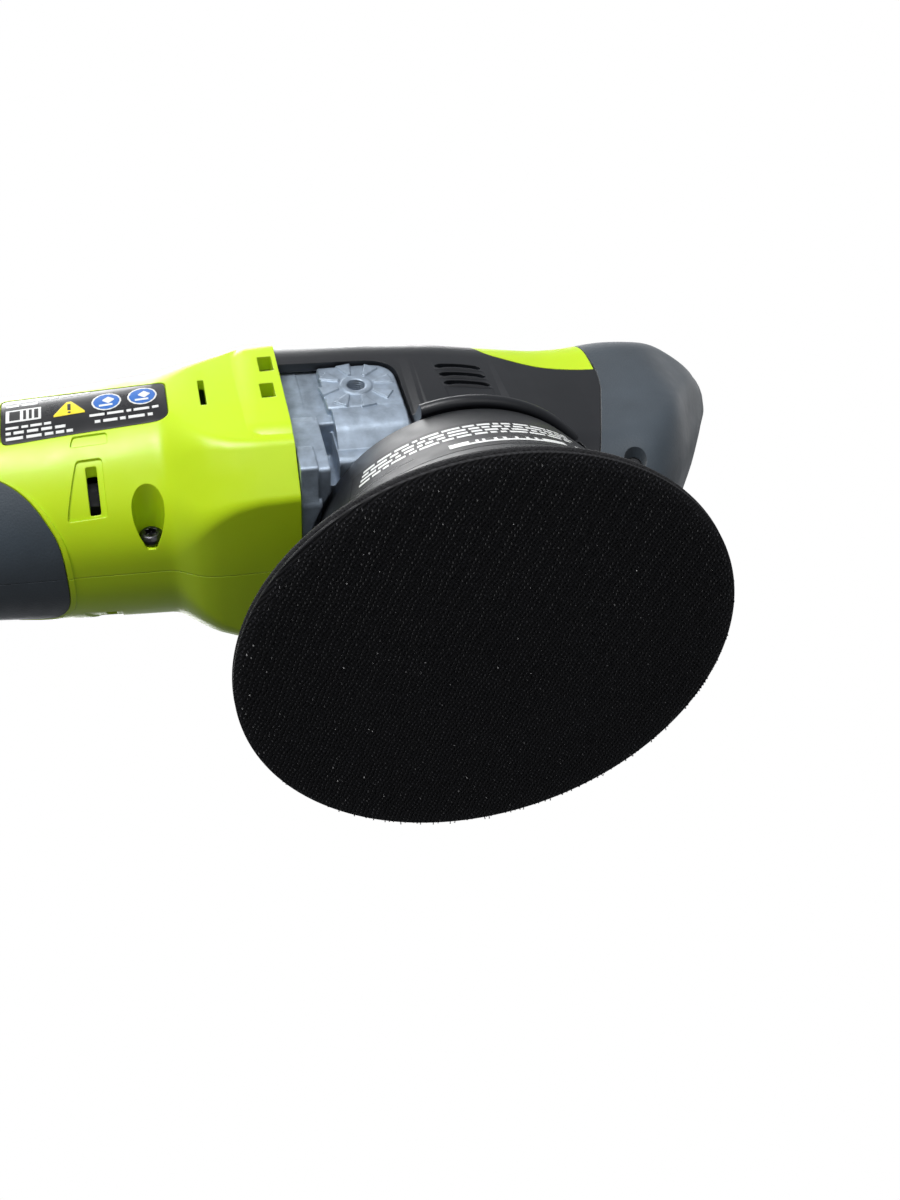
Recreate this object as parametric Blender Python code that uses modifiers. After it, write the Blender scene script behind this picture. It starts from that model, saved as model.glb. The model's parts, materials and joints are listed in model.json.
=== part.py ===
"""Cordless inline orbital sander: clamshell motor body, angle head and 125 mm hook pad.

Origin: spindle axis at the pad face. +X points to the nose, -X to the battery, +Z up.
Dimensions are in millimetres and are turned into metres where a mesh is made.
"""
from collections import namedtuple
from math import cos, pi, radians, sin, sqrt

import bmesh
import bpy
from mathutils import Vector

MM = 0.001
GAP = 0.3                 # between pieces that touch

# Heights on the spindle axis
ECCENTRIC = -4.0          # pad axis, off the spindle axis along X
MOTOR_Z = 76.5            # motor and handle axis
SHROUD_BOTTOM = 16.7
SHROUD_TOP = 52.5
CASE_BOTTOM = 57.5
CASE_TOP = 97.0
PLATE_RADIUS = 25.0       # plate that closes the gear case from below

# Lengths along the motor axis
HOUSING_FRONT = -44.0
HOUSING_REAR = -262.0
CASE_REAR = HOUSING_FRONT + GAP
PACK_FRONT = HOUSING_REAR - GAP
PACK_REAR = -321.0

# Side handle bosses: half the distance over their faces, and the centre of their threads
BOSS_FACE = 29.6
BOSS_CENTRE = (-23.8, 0.0, 79.0)

# Lip of the head cover round the shroud
SKIRT_RADIUS = 38.2
SKIRT_BOTTOM = 53.5
SKIRT_BEAD = 1.75

# Walls
WALL = 3.0
COVER_WALL = 2.6
RUBBER = 1.4
NOSE_RUBBER = 3.0
PACK_WALL = 2.5

# Bevel gears, with their cones' shared tip on the spindle axis at MOTOR_Z
GEAR_TEETH = 24
PINION_TEETH = 8
GEAR_PITCH_RADIUS = 21.0
PINION_PITCH_RADIUS = GEAR_PITCH_RADIUS * PINION_TEETH / GEAR_TEETH

# Motor
MOTOR_FRONT = -64.0
MOTOR_REAR = -124.0
CAN_RADIUS = 19.0

# Trigger, lock button and speed dial
TRIGGER_PIVOT = (-144.0, 0.0, 56.0)
LOCK_CENTRE = (-178.0, 0.0, 74.0)
DIAL_CENTRE = (-205.0, 0.0, 92.5)
DIAL_RADIUS = 11.5

# Screws that run along Y: x, z of each
HOUSING_SCREWS = ((-81.0, 50.5), (-81.0, 102.5), (-146.0, 96.5), (-213.5, 56.5))
CASE_SCREWS = ((-23.0, 52.0), (23.0, 52.0), (-21.0, 98.5), (21.0, 98.5))   # y, z of each

Station = namedtuple("Station", "x z side top bottom upper lower round")

# The motor body and handle, rear to front: distances of the flats from the axis
BODY = (
    Station(-262, MOTOR_Z, 33.0, 33.5, 33.5, 34.0, 34.0, 24),
    Station(-250, MOTOR_Z, 30.5, 31.0, 31.0, 31.5, 31.5, 24),
    Station(-238, MOTOR_Z, 26.8, 27.3, 27.0, 27.2, 27.2, 22),
    Station(-222, MOTOR_Z, 25.0, 25.4, 25.2, 25.2, 25.2, 21),
    Station(-160, MOTOR_Z, 25.6, 25.8, 26.0, 26.0, 25.8, 22),
    Station(-119, MOTOR_Z, 28.9, 28.9, 29.1, 29.1, 28.6, 25),
    Station(-100, MOTOR_Z, 30.4, 30.6, 29.7, 30.6, 30.2, 26),
    Station(-76, MOTOR_Z, 32.3, 32.2, 30.4, 32.8, 31.2, 26),
    Station(-70, MOTOR_Z, 33.0, 32.4, 33.8, 33.3, 35.4, 17),
    Station(-66, MOTOR_Z, 33.2, 32.6, 34.7, 33.8, 37.8, 11),
    Station(-60, MOTOR_Z, 33.3, 33.0, 34.9, 35.0, 40.0, 8),
    Station(-54, MOTOR_Z, 33.4, 33.5, 34.9, 37.0, 40.8, 7),
    Station(-44, MOTOR_Z, 33.4, 34.0, 34.9, 38.0, 41.0, 6),
)

# The head cover and nose, rear to front
HEAD = (
    Station(-43.7, 76.5, 31.0, 36.0, 36.0, 38.6, 39.5, 18),
    Station(-23, 76.5, 30.5, 36.0, 36.0, 38.0, 39.0, 18),
    Station(0, 76.5, 29.5, 35.3, 36.0, 36.6, 38.4, 18),
    Station(18, 76.5, 27.0, 34.2, 36.0, 34.4, 36.6, 18),
    Station(32, 76.5, 24.4, 33.4, 36.0, 33.2, 35.2, 17),
    Station(42, 76.5, 24.4, 33.8, 37.0, 33.4, 35.8, 17),
    Station(52, 76.5, 26.0, 34.8, 37.0, 34.4, 36.8, 17),
    Station(62, 78.6, 27.0, 34.0, 28.4, 31.5, 32.5, 16),
    Station(70, 86.0, 21.7, 24.9, 22.1, 26.6, 22.8, 12.5),
    Station(77, 89.2, 17.7, 18.8, 15.7, 19.5, 15.3, 10),
    Station(82, 93.0, 13.5, 11.6, 9.3, 13.3, 10.1, 7),
    Station(85.5, 96.5, 5.0, 4.5, 4.4, 5.0, 4.8, 4),
    Station(87.5, 97.4, 2.3, 2.0, 2.1, 2.3, 2.1, 1.6),
)

RECESS_MARGIN = 1.0       # a recess cutter stands this far proud of the surface


# ---------------------------------------------------------------- scene and materials

def clear_scene():
    for obj in list(bpy.data.objects):
        bpy.data.objects.remove(obj, do_unlink=True)


def new_collection(name):
    collection = bpy.data.collections.new(name)
    bpy.context.scene.collection.children.link(collection)
    return collection


clear_scene()
PARTS = new_collection("orbital_sander")
CUTTERS = new_collection("cutters")

FINISHES = {
    "lime_plastic": ((0.55, 0.84, 0.02), 0.42, 0.0),
    "black_plastic": ((0.018, 0.019, 0.022), 0.45, 0.0),
    "grey_rubber": ((0.055, 0.07, 0.095), 0.62, 0.0),
    "cast_aluminium": ((0.34, 0.39, 0.45), 0.38, 0.9),
    "steel": ((0.55, 0.56, 0.58), 0.3, 1.0),
    "black_steel": ((0.03, 0.03, 0.035), 0.4, 0.9),
    "bearing_steel": ((0.62, 0.63, 0.65), 0.22, 1.0),
    "copper": ((0.72, 0.32, 0.16), 0.35, 1.0),
    "carbon": ((0.03, 0.03, 0.03), 0.55, 0.2),
    "magnet": ((0.08, 0.08, 0.085), 0.5, 0.4),
    "circuit_green": ((0.02, 0.16, 0.05), 0.4, 0.0),
    "foam": ((0.02, 0.02, 0.022), 0.85, 0.0),
    "hook_fabric": ((0.012, 0.012, 0.014), 0.9, 0.0),
    "cell_sleeve": ((0.02, 0.13, 0.32), 0.45, 0.0),
    "label_film": ((0.02, 0.02, 0.02), 0.35, 0.0),
}


def make_material(name):
    colour, roughness, metallic = FINISHES[name]
    material = bpy.data.materials.new(name)
    material.use_nodes = True
    shader = material.node_tree.nodes["Principled BSDF"]
    shader.inputs["Base Color"].default_value = (*colour, 1.0)
    shader.inputs["Roughness"].default_value = roughness
    shader.inputs["Metallic"].default_value = metallic
    return material


MATERIALS = {name: make_material(name) for name in FINISHES}


# ---------------------------------------------------------------- making meshes

def finish_mesh(name, bm, material=None):
    """Object from a closed bmesh given in millimetres; without a material it is a cutter."""
    bmesh.ops.recalc_face_normals(bm, faces=bm.faces)
    for vert in bm.verts:
        vert.co *= MM
    mesh = bpy.data.meshes.new(name)
    bm.to_mesh(mesh)
    bm.free()
    mesh.shade_smooth()
    mesh.set_sharp_from_angle(angle=radians(35))
    obj = bpy.data.objects.new(name, mesh)
    if material:
        PARTS.objects.link(obj)
        mesh.materials.append(MATERIALS[material])
    else:
        CUTTERS.objects.link(obj)
        obj.hide_render = True
        obj.display_type = "WIRE"
    return obj


def add_modifier(obj, kind, **settings):
    modifier = obj.modifiers.new(kind.title(), kind)
    for key, value in settings.items():
        setattr(modifier, key, value)
    return modifier


def combine(obj, other, operation):
    """Boolean of an object with another, which is moved to the cutters if it isn't there."""
    if other.name in PARTS.objects:
        PARTS.objects.unlink(other)
        CUTTERS.objects.link(other)
    other.hide_render = True
    other.display_type = "WIRE"
    add_modifier(obj, "BOOLEAN", object=other, operation=operation, solver="EXACT")
    return obj


def cut(obj, *others):
    for other in others:
        combine(obj, other, "DIFFERENCE")
    return obj


def join(obj, *others):
    for other in others:
        combine(obj, other, "UNION")
    return obj


def keep(obj, *others):
    for other in others:
        combine(obj, other, "INTERSECT")
    return obj


def loft(name, rings, material=None):
    """Closed solid through rings of equal length, flat at both ends."""
    bm = bmesh.new()
    loops = [[bm.verts.new(point) for point in ring] for ring in rings]
    for first, second in zip(loops, loops[1:]):
        for i, vert in enumerate(first):
            j = (i + 1) % len(first)
            bm.faces.new((vert, first[j], second[j], second[i]))
    bm.faces.new(loops[0])
    bm.faces.new(loops[-1])
    return finish_mesh(name, bm, material)


def box(name, low, high, material=None, bevel=0.0):
    bm = bmesh.new()
    bmesh.ops.create_cube(bm, size=1.0)
    low, high = Vector(low), Vector(high)
    for vert in bm.verts:
        vert.co = (low + high) / 2 + vert.co * (high - low)
    obj = finish_mesh(name, bm, material)
    if bevel:
        add_modifier(obj, "BEVEL", width=bevel * MM, segments=1, limit_method="ANGLE")
    return obj


AXIS_FRAMES = {
    "X": lambda r, s, a: (s, r * cos(a), r * sin(a)),
    "Y": lambda r, s, a: (r * sin(a), s, r * cos(a)),
    "Z": lambda r, s, a: (r * cos(a), r * sin(a), s),
}


def rod(name, axis, centre, radius, start, end, material=None, sides=12):
    """Cylinder along an axis from start to end, round a centre in the other two directions."""
    place = AXIS_FRAMES[axis]
    rings = []
    for station in (start, end):
        ring = []
        for i in range(sides):
            point = Vector(place(radius, station, 2 * pi * i / sides))
            offset = Vector(centre)
            offset["XYZ".index(axis)] = 0.0
            ring.append(point + offset)
        rings.append(ring)
    return loft(name, rings, material)


def turned(name, profile, material, axis="Z", centre=(0, 0, 0), steps=32):
    """Profile of (radius, height) points, outer side top to bottom, turned with Screw."""
    closed = all(radius > 0 for radius, _ in profile)
    bm = bmesh.new()
    verts = [bm.verts.new((radius * MM, 0, height * MM)) for radius, height in profile]
    for first, second in zip(verts, verts[1:]):
        bm.edges.new((first, second))
    if closed:
        bm.edges.new((verts[-1], verts[0]))
    mesh = bpy.data.meshes.new(name)
    bm.to_mesh(mesh)
    bm.free()
    mesh.materials.append(MATERIALS[material])
    obj = bpy.data.objects.new(name, mesh)
    PARTS.objects.link(obj)
    obj.location = Vector(centre) * MM
    if axis == "X":
        obj.rotation_euler = (0, pi / 2, 0)
    if axis == "Y":
        obj.rotation_euler = (-pi / 2, 0, 0)
    add_modifier(obj, "SCREW", axis="Z", angle=2 * pi, steps=steps, render_steps=steps,
                 use_merge_vertices=True, merge_threshold=0.00001, use_smooth_shade=False)
    return obj


def prism(name, outline, axis, start, end, material=None):
    """Outline of two coordinates swept along an axis; XZ outlines sweep Y, XY outlines Z."""
    def at(point, depth):
        if axis == "Y":
            return (point[0], depth, point[1])
        if axis == "Z":
            return (point[0], point[1], depth)
        return (depth, point[0], point[1])
    return loft(name, [[at(p, start) for p in outline], [at(p, end) for p in outline]], material)


def arc(centre, radius, start, end, count):
    """Points on an arc, angles in degrees."""
    points = []
    for i in range(count):
        angle = radians(start + (end - start) * i / (count - 1))
        points.append((centre[0] + radius * cos(angle), centre[1] + radius * sin(angle)))
    return points


# ---------------------------------------------------------------- lofted forms

def section(station, inset, steps):
    """Octagon with rounded corners: flats at the station's distances, made smaller by inset."""
    flats = (station.side, station.upper, station.top, station.upper,
             station.side, station.lower, station.bottom, station.lower)
    radius = max(station.round - inset, 0.5)
    inner = [distance - inset - radius for distance in flats]
    turn = pi / 4
    ring = []
    for i, distance in enumerate(inner):
        angle = i * turn
        along = (inner[(i + 1) % 8] - distance * cos(turn)) / sin(turn)
        corner_y = distance * cos(angle) - along * sin(angle)
        corner_z = distance * sin(angle) + along * cos(angle)
        for step in range(steps + 1):
            direction = angle + turn * step / steps
            ring.append((station.x, corner_y + radius * cos(direction),
                         station.z + corner_z + radius * sin(direction)))
    return ring


def between(stations, x):
    """Station at any x, on straight lines between its neighbours."""
    for first, second in zip(stations, stations[1:]):
        if first.x <= x <= second.x:
            share = (x - first.x) / (second.x - first.x)
            values = [a + (b - a) * share for a, b in zip(first, second)]
            return Station(*values)
    nearest = stations[0] if x < stations[0].x else stations[-1]
    return nearest._replace(x=x)


def form(name, stations, inset=0.0, start=None, end=None, material=None, wall=None, steps=2):
    """Loft through stations from start to end; wall gives the inset at each x."""
    start = stations[0].x if start is None else start
    end = stations[-1].x if end is None else end
    middle = [s for s in stations if start + 0.5 < s.x < end - 0.5]
    chosen = [between(stations, start), *middle, between(stations, end)]
    rings = [section(s, wall(s.x) if wall else inset, steps) for s in chosen]
    return loft(name, rings, material)


def band(name, stations, depth, region, start, end):
    """Recess cutter: the outer layer of a form, to a depth, within a region."""
    outer = keep(form(name, stations, -RECESS_MARGIN, start, end), region)
    return cut(outer, form(name + "_core", stations, depth, start - 1, end + 1))


# ---------------------------------------------------------------- motor body and handle

def grip_outline(margin):
    """Side view of the rubber grip: a curved front edge that climbs to the top of the handle."""
    front = [(-101.5, 40), (-102.5, 46), (-106.5, 51), (-112.0, 57), (-119.0, 61), (-130.0, 64),
             (-141.0, 70), (-148.0, 82), (-151.0, 96), (-152.0, 112)]
    rear = [(-240.0, 112), (-236.5, 94), (-236.5, 60), (-240.0, 40)]
    return [(x + margin, z) for x, z in front] + [(x - margin, z) for x, z in rear]


def label_region(name, margin):
    outline = []
    for x, z, start in ((-76.0, 80.5, 90), (-112.0, 83.5, 180)):
        outline += arc((x, z), 2.5 + margin, start - 90, start, 3)
    for x, z, start in ((-112.0, 69.7, 180), (-76.0, 70.5, 270)):
        outline += arc((x, z), 2.5 + margin, start, start + 90, 3)
    return prism(name, outline, "Y", -45, -20)


def half_space(name, side):
    low, high = sorted((side * GAP / 2, side * 60))
    return box(name, (-330, low, 0), (60, high, 140))


def screw_post(name, x, z, radius):
    post = rod(name, "Y", (x, 0, z), radius, -30, 30, sides=8)
    return keep(post, form(name + "_limit", BODY, 1.0, x - 12, x + 12))


def case_screw_post(name, y, z):
    post = rod(name, "X", (0, y, z), 4.2, HOUSING_FRONT - 16, HOUSING_FRONT, sides=8)
    return keep(post, form(name + "_limit", BODY, 1.0, HOUSING_FRONT - 25))


def motor_rib(name, x):
    """Web that carries the motor can."""
    rib = form(name, BODY, 1.5, x - 1.5, x + 1.5)
    return cut(rib, rod(name + "_bore", "X", (0, 0, MOTOR_Z), CAN_RADIUS + 0.8, x - 5, x + 5,
                        sides=16))


def dial_posts(name):
    posts = []
    for side in (-1, 1):
        low, high = sorted((side * 5.4, side * 18))
        post = rod(f"{name}_{side}", "Y", DIAL_CENTRE, 4.5, low, high, sides=8)
        posts.append(keep(post, form(f"{name}_{side}_limit", BODY, 1.0, -220, -190)))
    return posts


def vent_cutters(tag):
    """Side slots, slits and shoulder windows, cut through both halves alike."""
    slots = (
        ("slot", (-95.0, -40, 51.6), (-92.0, 40, 59.2)),
        ("slit", (-64.8, -40, 70.6), (-63.4, 40, 81.8)),
        ("window_low", (-49.2, -40, 69.4), (-46.0, 40, 75.6)),
        ("window_high", (-49.2, -40, 82.0), (-46.0, 40, 88.6)),
    )
    return [box(f"{tag}_{name}", low, high) for name, low, high in slots]


def trigger_slot(tag):
    return box(f"{tag}_trigger_slot", (-208.5, -10.2, 40), (-139.5, 10.2, 61))


def dial_slot(tag):
    return rod(f"{tag}_dial_slot", "Y", DIAL_CENTRE, DIAL_RADIUS + 0.8, -5.1, 5.1, sides=24)


def lock_hole(tag):
    return rod(f"{tag}_lock_hole", "Y", LOCK_CENTRE, 5.4, -40, -15, sides=20)


def housing_half(name, side):
    shell = form(name, BODY, material="lime_plastic")
    cut(shell, form(name + "_cavity", BODY, WALL, HOUSING_REAR + 4, HOUSING_FRONT + 1, steps=1))
    for index, (x, z) in enumerate(HOUSING_SCREWS):
        join(shell, screw_post(f"{name}_post_{index}", x, z, 4.0))
    sided_screws = [(y, z) for y, z in CASE_SCREWS if y * side > 0]
    for index, (y, z) in enumerate(sided_screws):
        join(shell, case_screw_post(f"{name}_case_post_{index}", y, z))
    join(shell, motor_rib(name + "_rib_front", -72.0), motor_rib(name + "_rib_rear", -112.0))
    join(shell, *dial_posts(name + "_dial_post"))
    grip = prism(name + "_grip_region", grip_outline(GAP), "Y", -45, 45)
    cut(shell, band(name + "_grip_recess", BODY, RUBBER + GAP, grip, -245, -95))
    keep(shell, half_space(name + "_half", side))
    cut(shell, trigger_slot(name), dial_slot(name), *vent_cutters(name))
    cut(shell, rod(name + "_pivot", "Y", TRIGGER_PIVOT, 1.9, -12.7, 12.7, sides=8))
    cut(shell, rod(name + "_axle", "Y", DIAL_CENTRE, 2.5, -9.0, 9.0, sides=8))
    cut(shell, box(name + "_socket", (-270, -14.6, 59.4), (-255, 14.6, 93.6)))
    for index, (x, z) in enumerate(HOUSING_SCREWS):
        cut(shell, rod(f"{name}_screw_{index}", "Y", (x, 0, z), 1.9, -12, 10.5, sides=8))
        if side < 0:
            cut(shell, rod(f"{name}_bore_{index}", "Y", (x, 0, z), 3.9, -40, -7.2, sides=14))
    for index, (y, z) in enumerate(sided_screws):
        cut(shell, rod(f"{name}_case_screw_{index}", "X", (0, y, z), 2.4, -58, -40, sides=8))
    if side < 0:
        region = label_region(name + "_label_region", GAP)
        cut(shell, band(name + "_label_recess", BODY, 0.8, region, -125, -66), lock_hole(name))
    return shell


def grip_half(name, side):
    grip = form(name, BODY, 0.0, -245, -95, material="grey_rubber")
    keep(grip, prism(name + "_outline", grip_outline(0), "Y", -45, 45))
    cut(grip, form(name + "_inner", BODY, RUBBER, -250, -90))
    keep(grip, half_space(name + "_half", side))
    cut(grip, trigger_slot(name), dial_slot(name))
    if side < 0:
        cut(grip, lock_hole(name))
        for index, (x, z) in enumerate(HOUSING_SCREWS[3:]):
            cut(grip, rod(f"{name}_bore_{index}", "Y", (x, 0, z), 3.9, -40, -7.2, sides=14))
    return grip


def rating_label():
    label = form("rating_label", BODY, 0.1, -125, -66, material="label_film")
    keep(label, label_region("rating_label_region", 0.0))
    cut(label, form("rating_label_core", BODY, 0.5, -130, -60))
    return label


def housing_screw(index, x, z):
    profile = [(0, 9.8), (1.5, 9.8), (1.5, -7.5), (3.2, -7.5), (3.2, -9.2), (2.4, -9.9), (0, -9.9)]
    turned(f"housing_screw_{index}", profile, "black_steel", "Y", (x, 0, z), steps=12)


def motor_body():
    housing_half("housing_left", -1)
    housing_half("housing_right", 1)
    grip_half("grip_left", -1)
    grip_half("grip_right", 1)
    rating_label()
    for index, (x, z) in enumerate(HOUSING_SCREWS, start=1):
        housing_screw(index, x, z)


# ---------------------------------------------------------------- head

def nose_region(name, shift):
    """Side view of the rubber nose; its rear edge leans forward as it rises, then stands up."""
    edge = [(30.3, 30), (43.1, 70.4), (45.3, 78.5), (46.1, 86.0), (45.8, 92.0), (44.5, 120)]
    outline = [(x + shift, z) for x, z in edge]
    return prism(name, outline + [(100, 120), (100, 30)], "Y", -45, 45)


def accent_region(name, margin):
    """Side view of the lime trim: a long curve that rises to a point on top of the cover."""
    lower = [(12.6, 114), (13.2, 100), (15.4, 94.0), (20.0, 91.4), (27, 89.0), (36, 87.1)]
    front = [(45.5, 85.0 - margin), (45.5, 92.0), (44.2, 120)]
    upper = [(x + margin, z) for x, z in front] + [(12.6, 120)]
    outline = [(x - margin * 0.3, z - margin) for x, z in lower]
    return prism(name, outline + upper, "Y", -45, 45)


def shroud_clearance(name):
    """Space that the head leaves for the shroud and the rotating parts in it."""
    obj = loft(name, [
        [(x, y, z) for x, y in arc((0, 0), radius, 0, 350, 36)]
        for radius, z in ((52.4, 10.0), (51.2, 16.0), (39.6, 53.3))])
    return obj


def cover_wall(x):
    """Wall of the cover, thicker where the rubber nose covers it."""
    share = min(max((x - 24.0) / 10.0, 0.0), 1.0)
    return COVER_WALL + (NOSE_RUBBER + GAP) * share


def case_window(name):
    """Opening on both sides of the cover, round the gear case."""
    corner = arc((-19.8, 81.5), 8.0, 0, 90, 4)
    outline = [(-60, 0), (-11.8, 0), *corner, (-60, 89.5)]
    return prism(name, outline, "Y", -45, 45)


def cover_vents(name):
    slots = []
    for index in range(3):
        z = 85.0 - 4.2 * index
        slots.append(box(f"{name}_{index}", (-0.5, -40, z - 0.9), (11.6, 40, z + 0.9)))
    return slots


def cover_skirt():
    """Flared lip of the cover round the shroud, on both sides, ending at the nose."""
    bead = arc((SKIRT_RADIUS, SKIRT_BOTTOM + SKIRT_BEAD), SKIRT_BEAD, -150, 60, 6)
    flare = [(37.0, 58.2), (34.0, 60.8), (31.6, 64.6), (27.0, 67.5), (27.0, SKIRT_BOTTOM + 0.9)]
    skirt = turned("cover_skirt", bead + flare, "black_plastic", steps=72)
    return keep(skirt, box("skirt_range", (-12.5, -50, 40), (36.6, 50, 70)))


def head_cover():
    cover = form("head_cover", HEAD, end=79.0, material="black_plastic")
    join(cover, cover_skirt())
    cut(cover, band("nose_recess", HEAD, NOSE_RUBBER + GAP,
                    nose_region("nose_recess_region", -GAP), 20, 80))
    cut(cover, band("accent_recess", HEAD, 1.9, accent_region("accent_recess_region", GAP), 5, 70))
    cut(cover, form("cover_cavity", HEAD, start=-50, end=72, wall=cover_wall))
    cut(cover, box("cover_floor", (-50, -22, 30), (34, 22, 60)))
    cut(cover, case_window("case_window"), shroud_clearance("cover_clearance"))
    cut(cover, *cover_vents("cover_vent"))
    cut(cover, *nose_screw_holes("cover_screw_hole", 1.6))
    return cover


def nose_screw_holes(name, radius):
    holes = []
    for side in (-1, 1):
        low, high = sorted((side * 12, side * 30))
        holes.append(rod(f"{name}_{side}", "Y", (45.0, 0, 45.0), radius, low, high, sides=12))
    return holes


def nose_grip():
    grip = form("nose_grip", HEAD, material="grey_rubber")
    keep(grip, nose_region("nose_grip_region", 0.0))
    cut(grip, form("nose_grip_core", HEAD, NOSE_RUBBER, 0, 79.5))
    cut(grip, shroud_clearance("nose_clearance"))
    cut(grip, *nose_screw_holes("nose_screw_hole", 2.4))
    return grip


def accent_insert():
    trim = form("accent_insert", HEAD, end=70.0, material="lime_plastic")
    keep(trim, accent_region("accent_region", 0.0))
    return cut(trim, form("accent_core", HEAD, 1.6, 0, 75))


def boss_outline():
    """Side view of the handle boss, which fills the cover's window with a gap round it."""
    corner = arc((-20.1, 81.2), 7.6, 0, 90, 4)
    return [(-33.0, 62.5), (-12.5, 62.5), *corner, (-33.0, 88.8)]


def gear_case():
    """Casting with a round gear chamber, two side bosses and a rear flange."""
    case = rod("gear_case", "Z", (0, 0, 0), 25.0, CASE_BOTTOM, CASE_TOP, "cast_aluminium", 24)
    block = box("case_block", (-40, -25, SHROUD_TOP + GAP), (0, 25, 94))
    add_modifier(block, "BEVEL", width=3 * MM, segments=2, limit_method="ANGLE")
    cut(block, rod("case_plate_seat", "Z", (0, 0, 0), PLATE_RADIUS + GAP, CASE_BOTTOM - 10,
                   CASE_BOTTOM, sides=40))
    bosses = prism("case_bosses", boss_outline(), "Y", -BOSS_FACE, BOSS_FACE)
    add_modifier(bosses, "BEVEL", width=1.0 * MM, segments=1, limit_method="ANGLE",
                 angle_limit=radians(40))
    flange = form("case_flange", (
        Station(CASE_REAR, MOTOR_Z, 27.4, 30.0, 33.6, 33.0, 37.6, 3),
        Station(-38.5, MOTOR_Z, 27.4, 30.0, 33.6, 33.0, 37.6, 3)))
    join(case, block, bosses, flange)
    cut(case, rod("case_chamber", "Z", (0, 0, 0), 22.6, CASE_BOTTOM - 5, 93.0, sides=24))
    cut(case, rod("case_bearing_seat", "Z", (0, 0, 0), 13.4, 90.0, 94.2, sides=20))
    cut(case, rod("case_motor_bore", "X", (0, 0, MOTOR_Z), 11.5, -50, -34.0, sides=16))
    cut(case, rod("case_pinion_bore", "X", (0, 0, MOTOR_Z), 9.4, -40, -15, sides=16))
    cut(case, shroud_clearance("case_clearance"))
    for side in (-1, 1):
        low, high = sorted((side * (BOSS_FACE - 5.0), side * (BOSS_FACE + 2)))
        cut(case, rod(f"handle_thread_{side}", "Y", BOSS_CENTRE, 2.65, low, high))
    for index, (y, z) in enumerate(CASE_SCREWS):
        cut(case, rod(f"case_hole_{index}", "X", (0, y, z), 2.3, -50, -35, sides=8))
        cut(case, rod(f"case_head_{index}", "X", (0, y, z), 3.9, CASE_REAR + 5.2, -34.6, sides=16))
    return case


def case_screw(index, y, z):
    front = CASE_REAR + 5.2 + GAP
    profile = [(0, 3.0), (2.6, 2.9), (3.5, 1.8), (3.5, 0), (1.9, 0), (1.9, -18.5), (0, -18.5)]
    turned(f"case_screw_{index}", profile, "black_steel", "X", (front, y, z), steps=12)


def bearing(name, centre, bore, outer, start, end, axis="Z"):
    profile = [(outer, end), (outer, start), (bore, start), (bore, end)]
    return turned(name, profile, "bearing_steel", axis, centre, steps=20)


def head():
    head_cover()
    nose_grip()
    accent_insert()
    gear_case()
    for index, (y, z) in enumerate(CASE_SCREWS, start=1):
        case_screw(index, y, z)
    turned("bearing_plate", [(17.6, 62.7), (17.6, 57.2), (PLATE_RADIUS, 57.2),
                             (PLATE_RADIUS, 52.8), (10.6, 52.8), (10.6, 54.3), (14.3, 54.3),
                             (14.3, 62.7)], "cast_aluminium", steps=20)
    turned("shroud", [(12.5, SHROUD_TOP), (36.6, SHROUD_TOP), (38.2, 51.3), (50, SHROUD_BOTTOM),
                      (47.7, SHROUD_BOTTOM), (36.4, 50.0), (12.5, 50.0)], "black_plastic", steps=32)
    bearing("upper_spindle_bearing", (0, 0, 0), 5.3, 13.0, 85.9, 93.9)
    bearing("lower_spindle_bearing", (0, 0, 0), 6.3, 14.0, 54.6, 62.6)
    bearing("front_motor_bearing", (0, 0, MOTOR_Z), 4.3, 11.0, -43.0, -36.0, "X")


# ---------------------------------------------------------------- spindle and pad

def axis_empty(name, centre, parent=None):
    empty = bpy.data.objects.new(name, None)
    PARTS.objects.link(empty)
    if parent:
        empty.parent = parent
        centre = Vector(centre) - parent.location / MM
    empty.location = Vector(centre) * MM
    return empty


def attach(empty, *objects):
    """Parent objects to an axis and keep their places."""
    world = empty.location.copy()
    if empty.parent:
        world += empty.parent.location
    for obj in objects:
        obj.parent = empty
        obj.location = obj.location - world


def bevel_gear(name, axis, teeth, pitch_radius, other_radius, hub_end, bore, phase, material):
    """Straight bevel gear on an axis through the tip of its pitch cone.

    Its teeth are lofted towards the tip. It lies below the tip on Z, and behind it on X.
    """
    tip = Vector((0, 0, MOTOR_Z))
    cone = sqrt(pitch_radius ** 2 + other_radius ** 2)
    slope_out, slope_in = other_radius / cone, pitch_radius / cone
    module = 2 * pitch_radius / teeth
    small_end = 0.66
    profile = ((-0.33, -1.15), (-0.14, 0.7), (0.14, 0.7), (0.33, -1.15))

    def ring(scale):
        points = []
        for tooth in range(teeth):
            for share, height in profile:
                lift = height * module
                radius = (pitch_radius + lift * slope_out) * scale
                depth = (other_radius - lift * slope_in) * scale
                angle = phase + 2 * pi * (tooth + share) / teeth
                points.append((radius, depth, angle))
        return points

    def circle(radius, depth):
        return [(radius, depth, angle) for _, _, angle in ring(1.0)]

    inner_depth = min(depth for _, depth, _ in ring(small_end))
    rings = (ring(1.0), ring(small_end), circle(bore, inner_depth), circle(bore, hub_end))
    place = {
        "Z": lambda r, d, a: tip + Vector((r * cos(a), r * sin(a), -d)),
        "X": lambda r, d, a: tip + Vector((-d, r * cos(a), r * sin(a))),
    }[axis]
    bm = bmesh.new()
    loops = [[bm.verts.new(place(*point)) for point in points] for points in rings]
    for first, second in zip(loops, loops[1:] + loops[:1]):
        for i, vert in enumerate(first):
            j = (i + 1) % len(first)
            bm.faces.new((vert, first[j], second[j], second[i]))
    return finish_mesh(name, bm, material)


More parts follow.
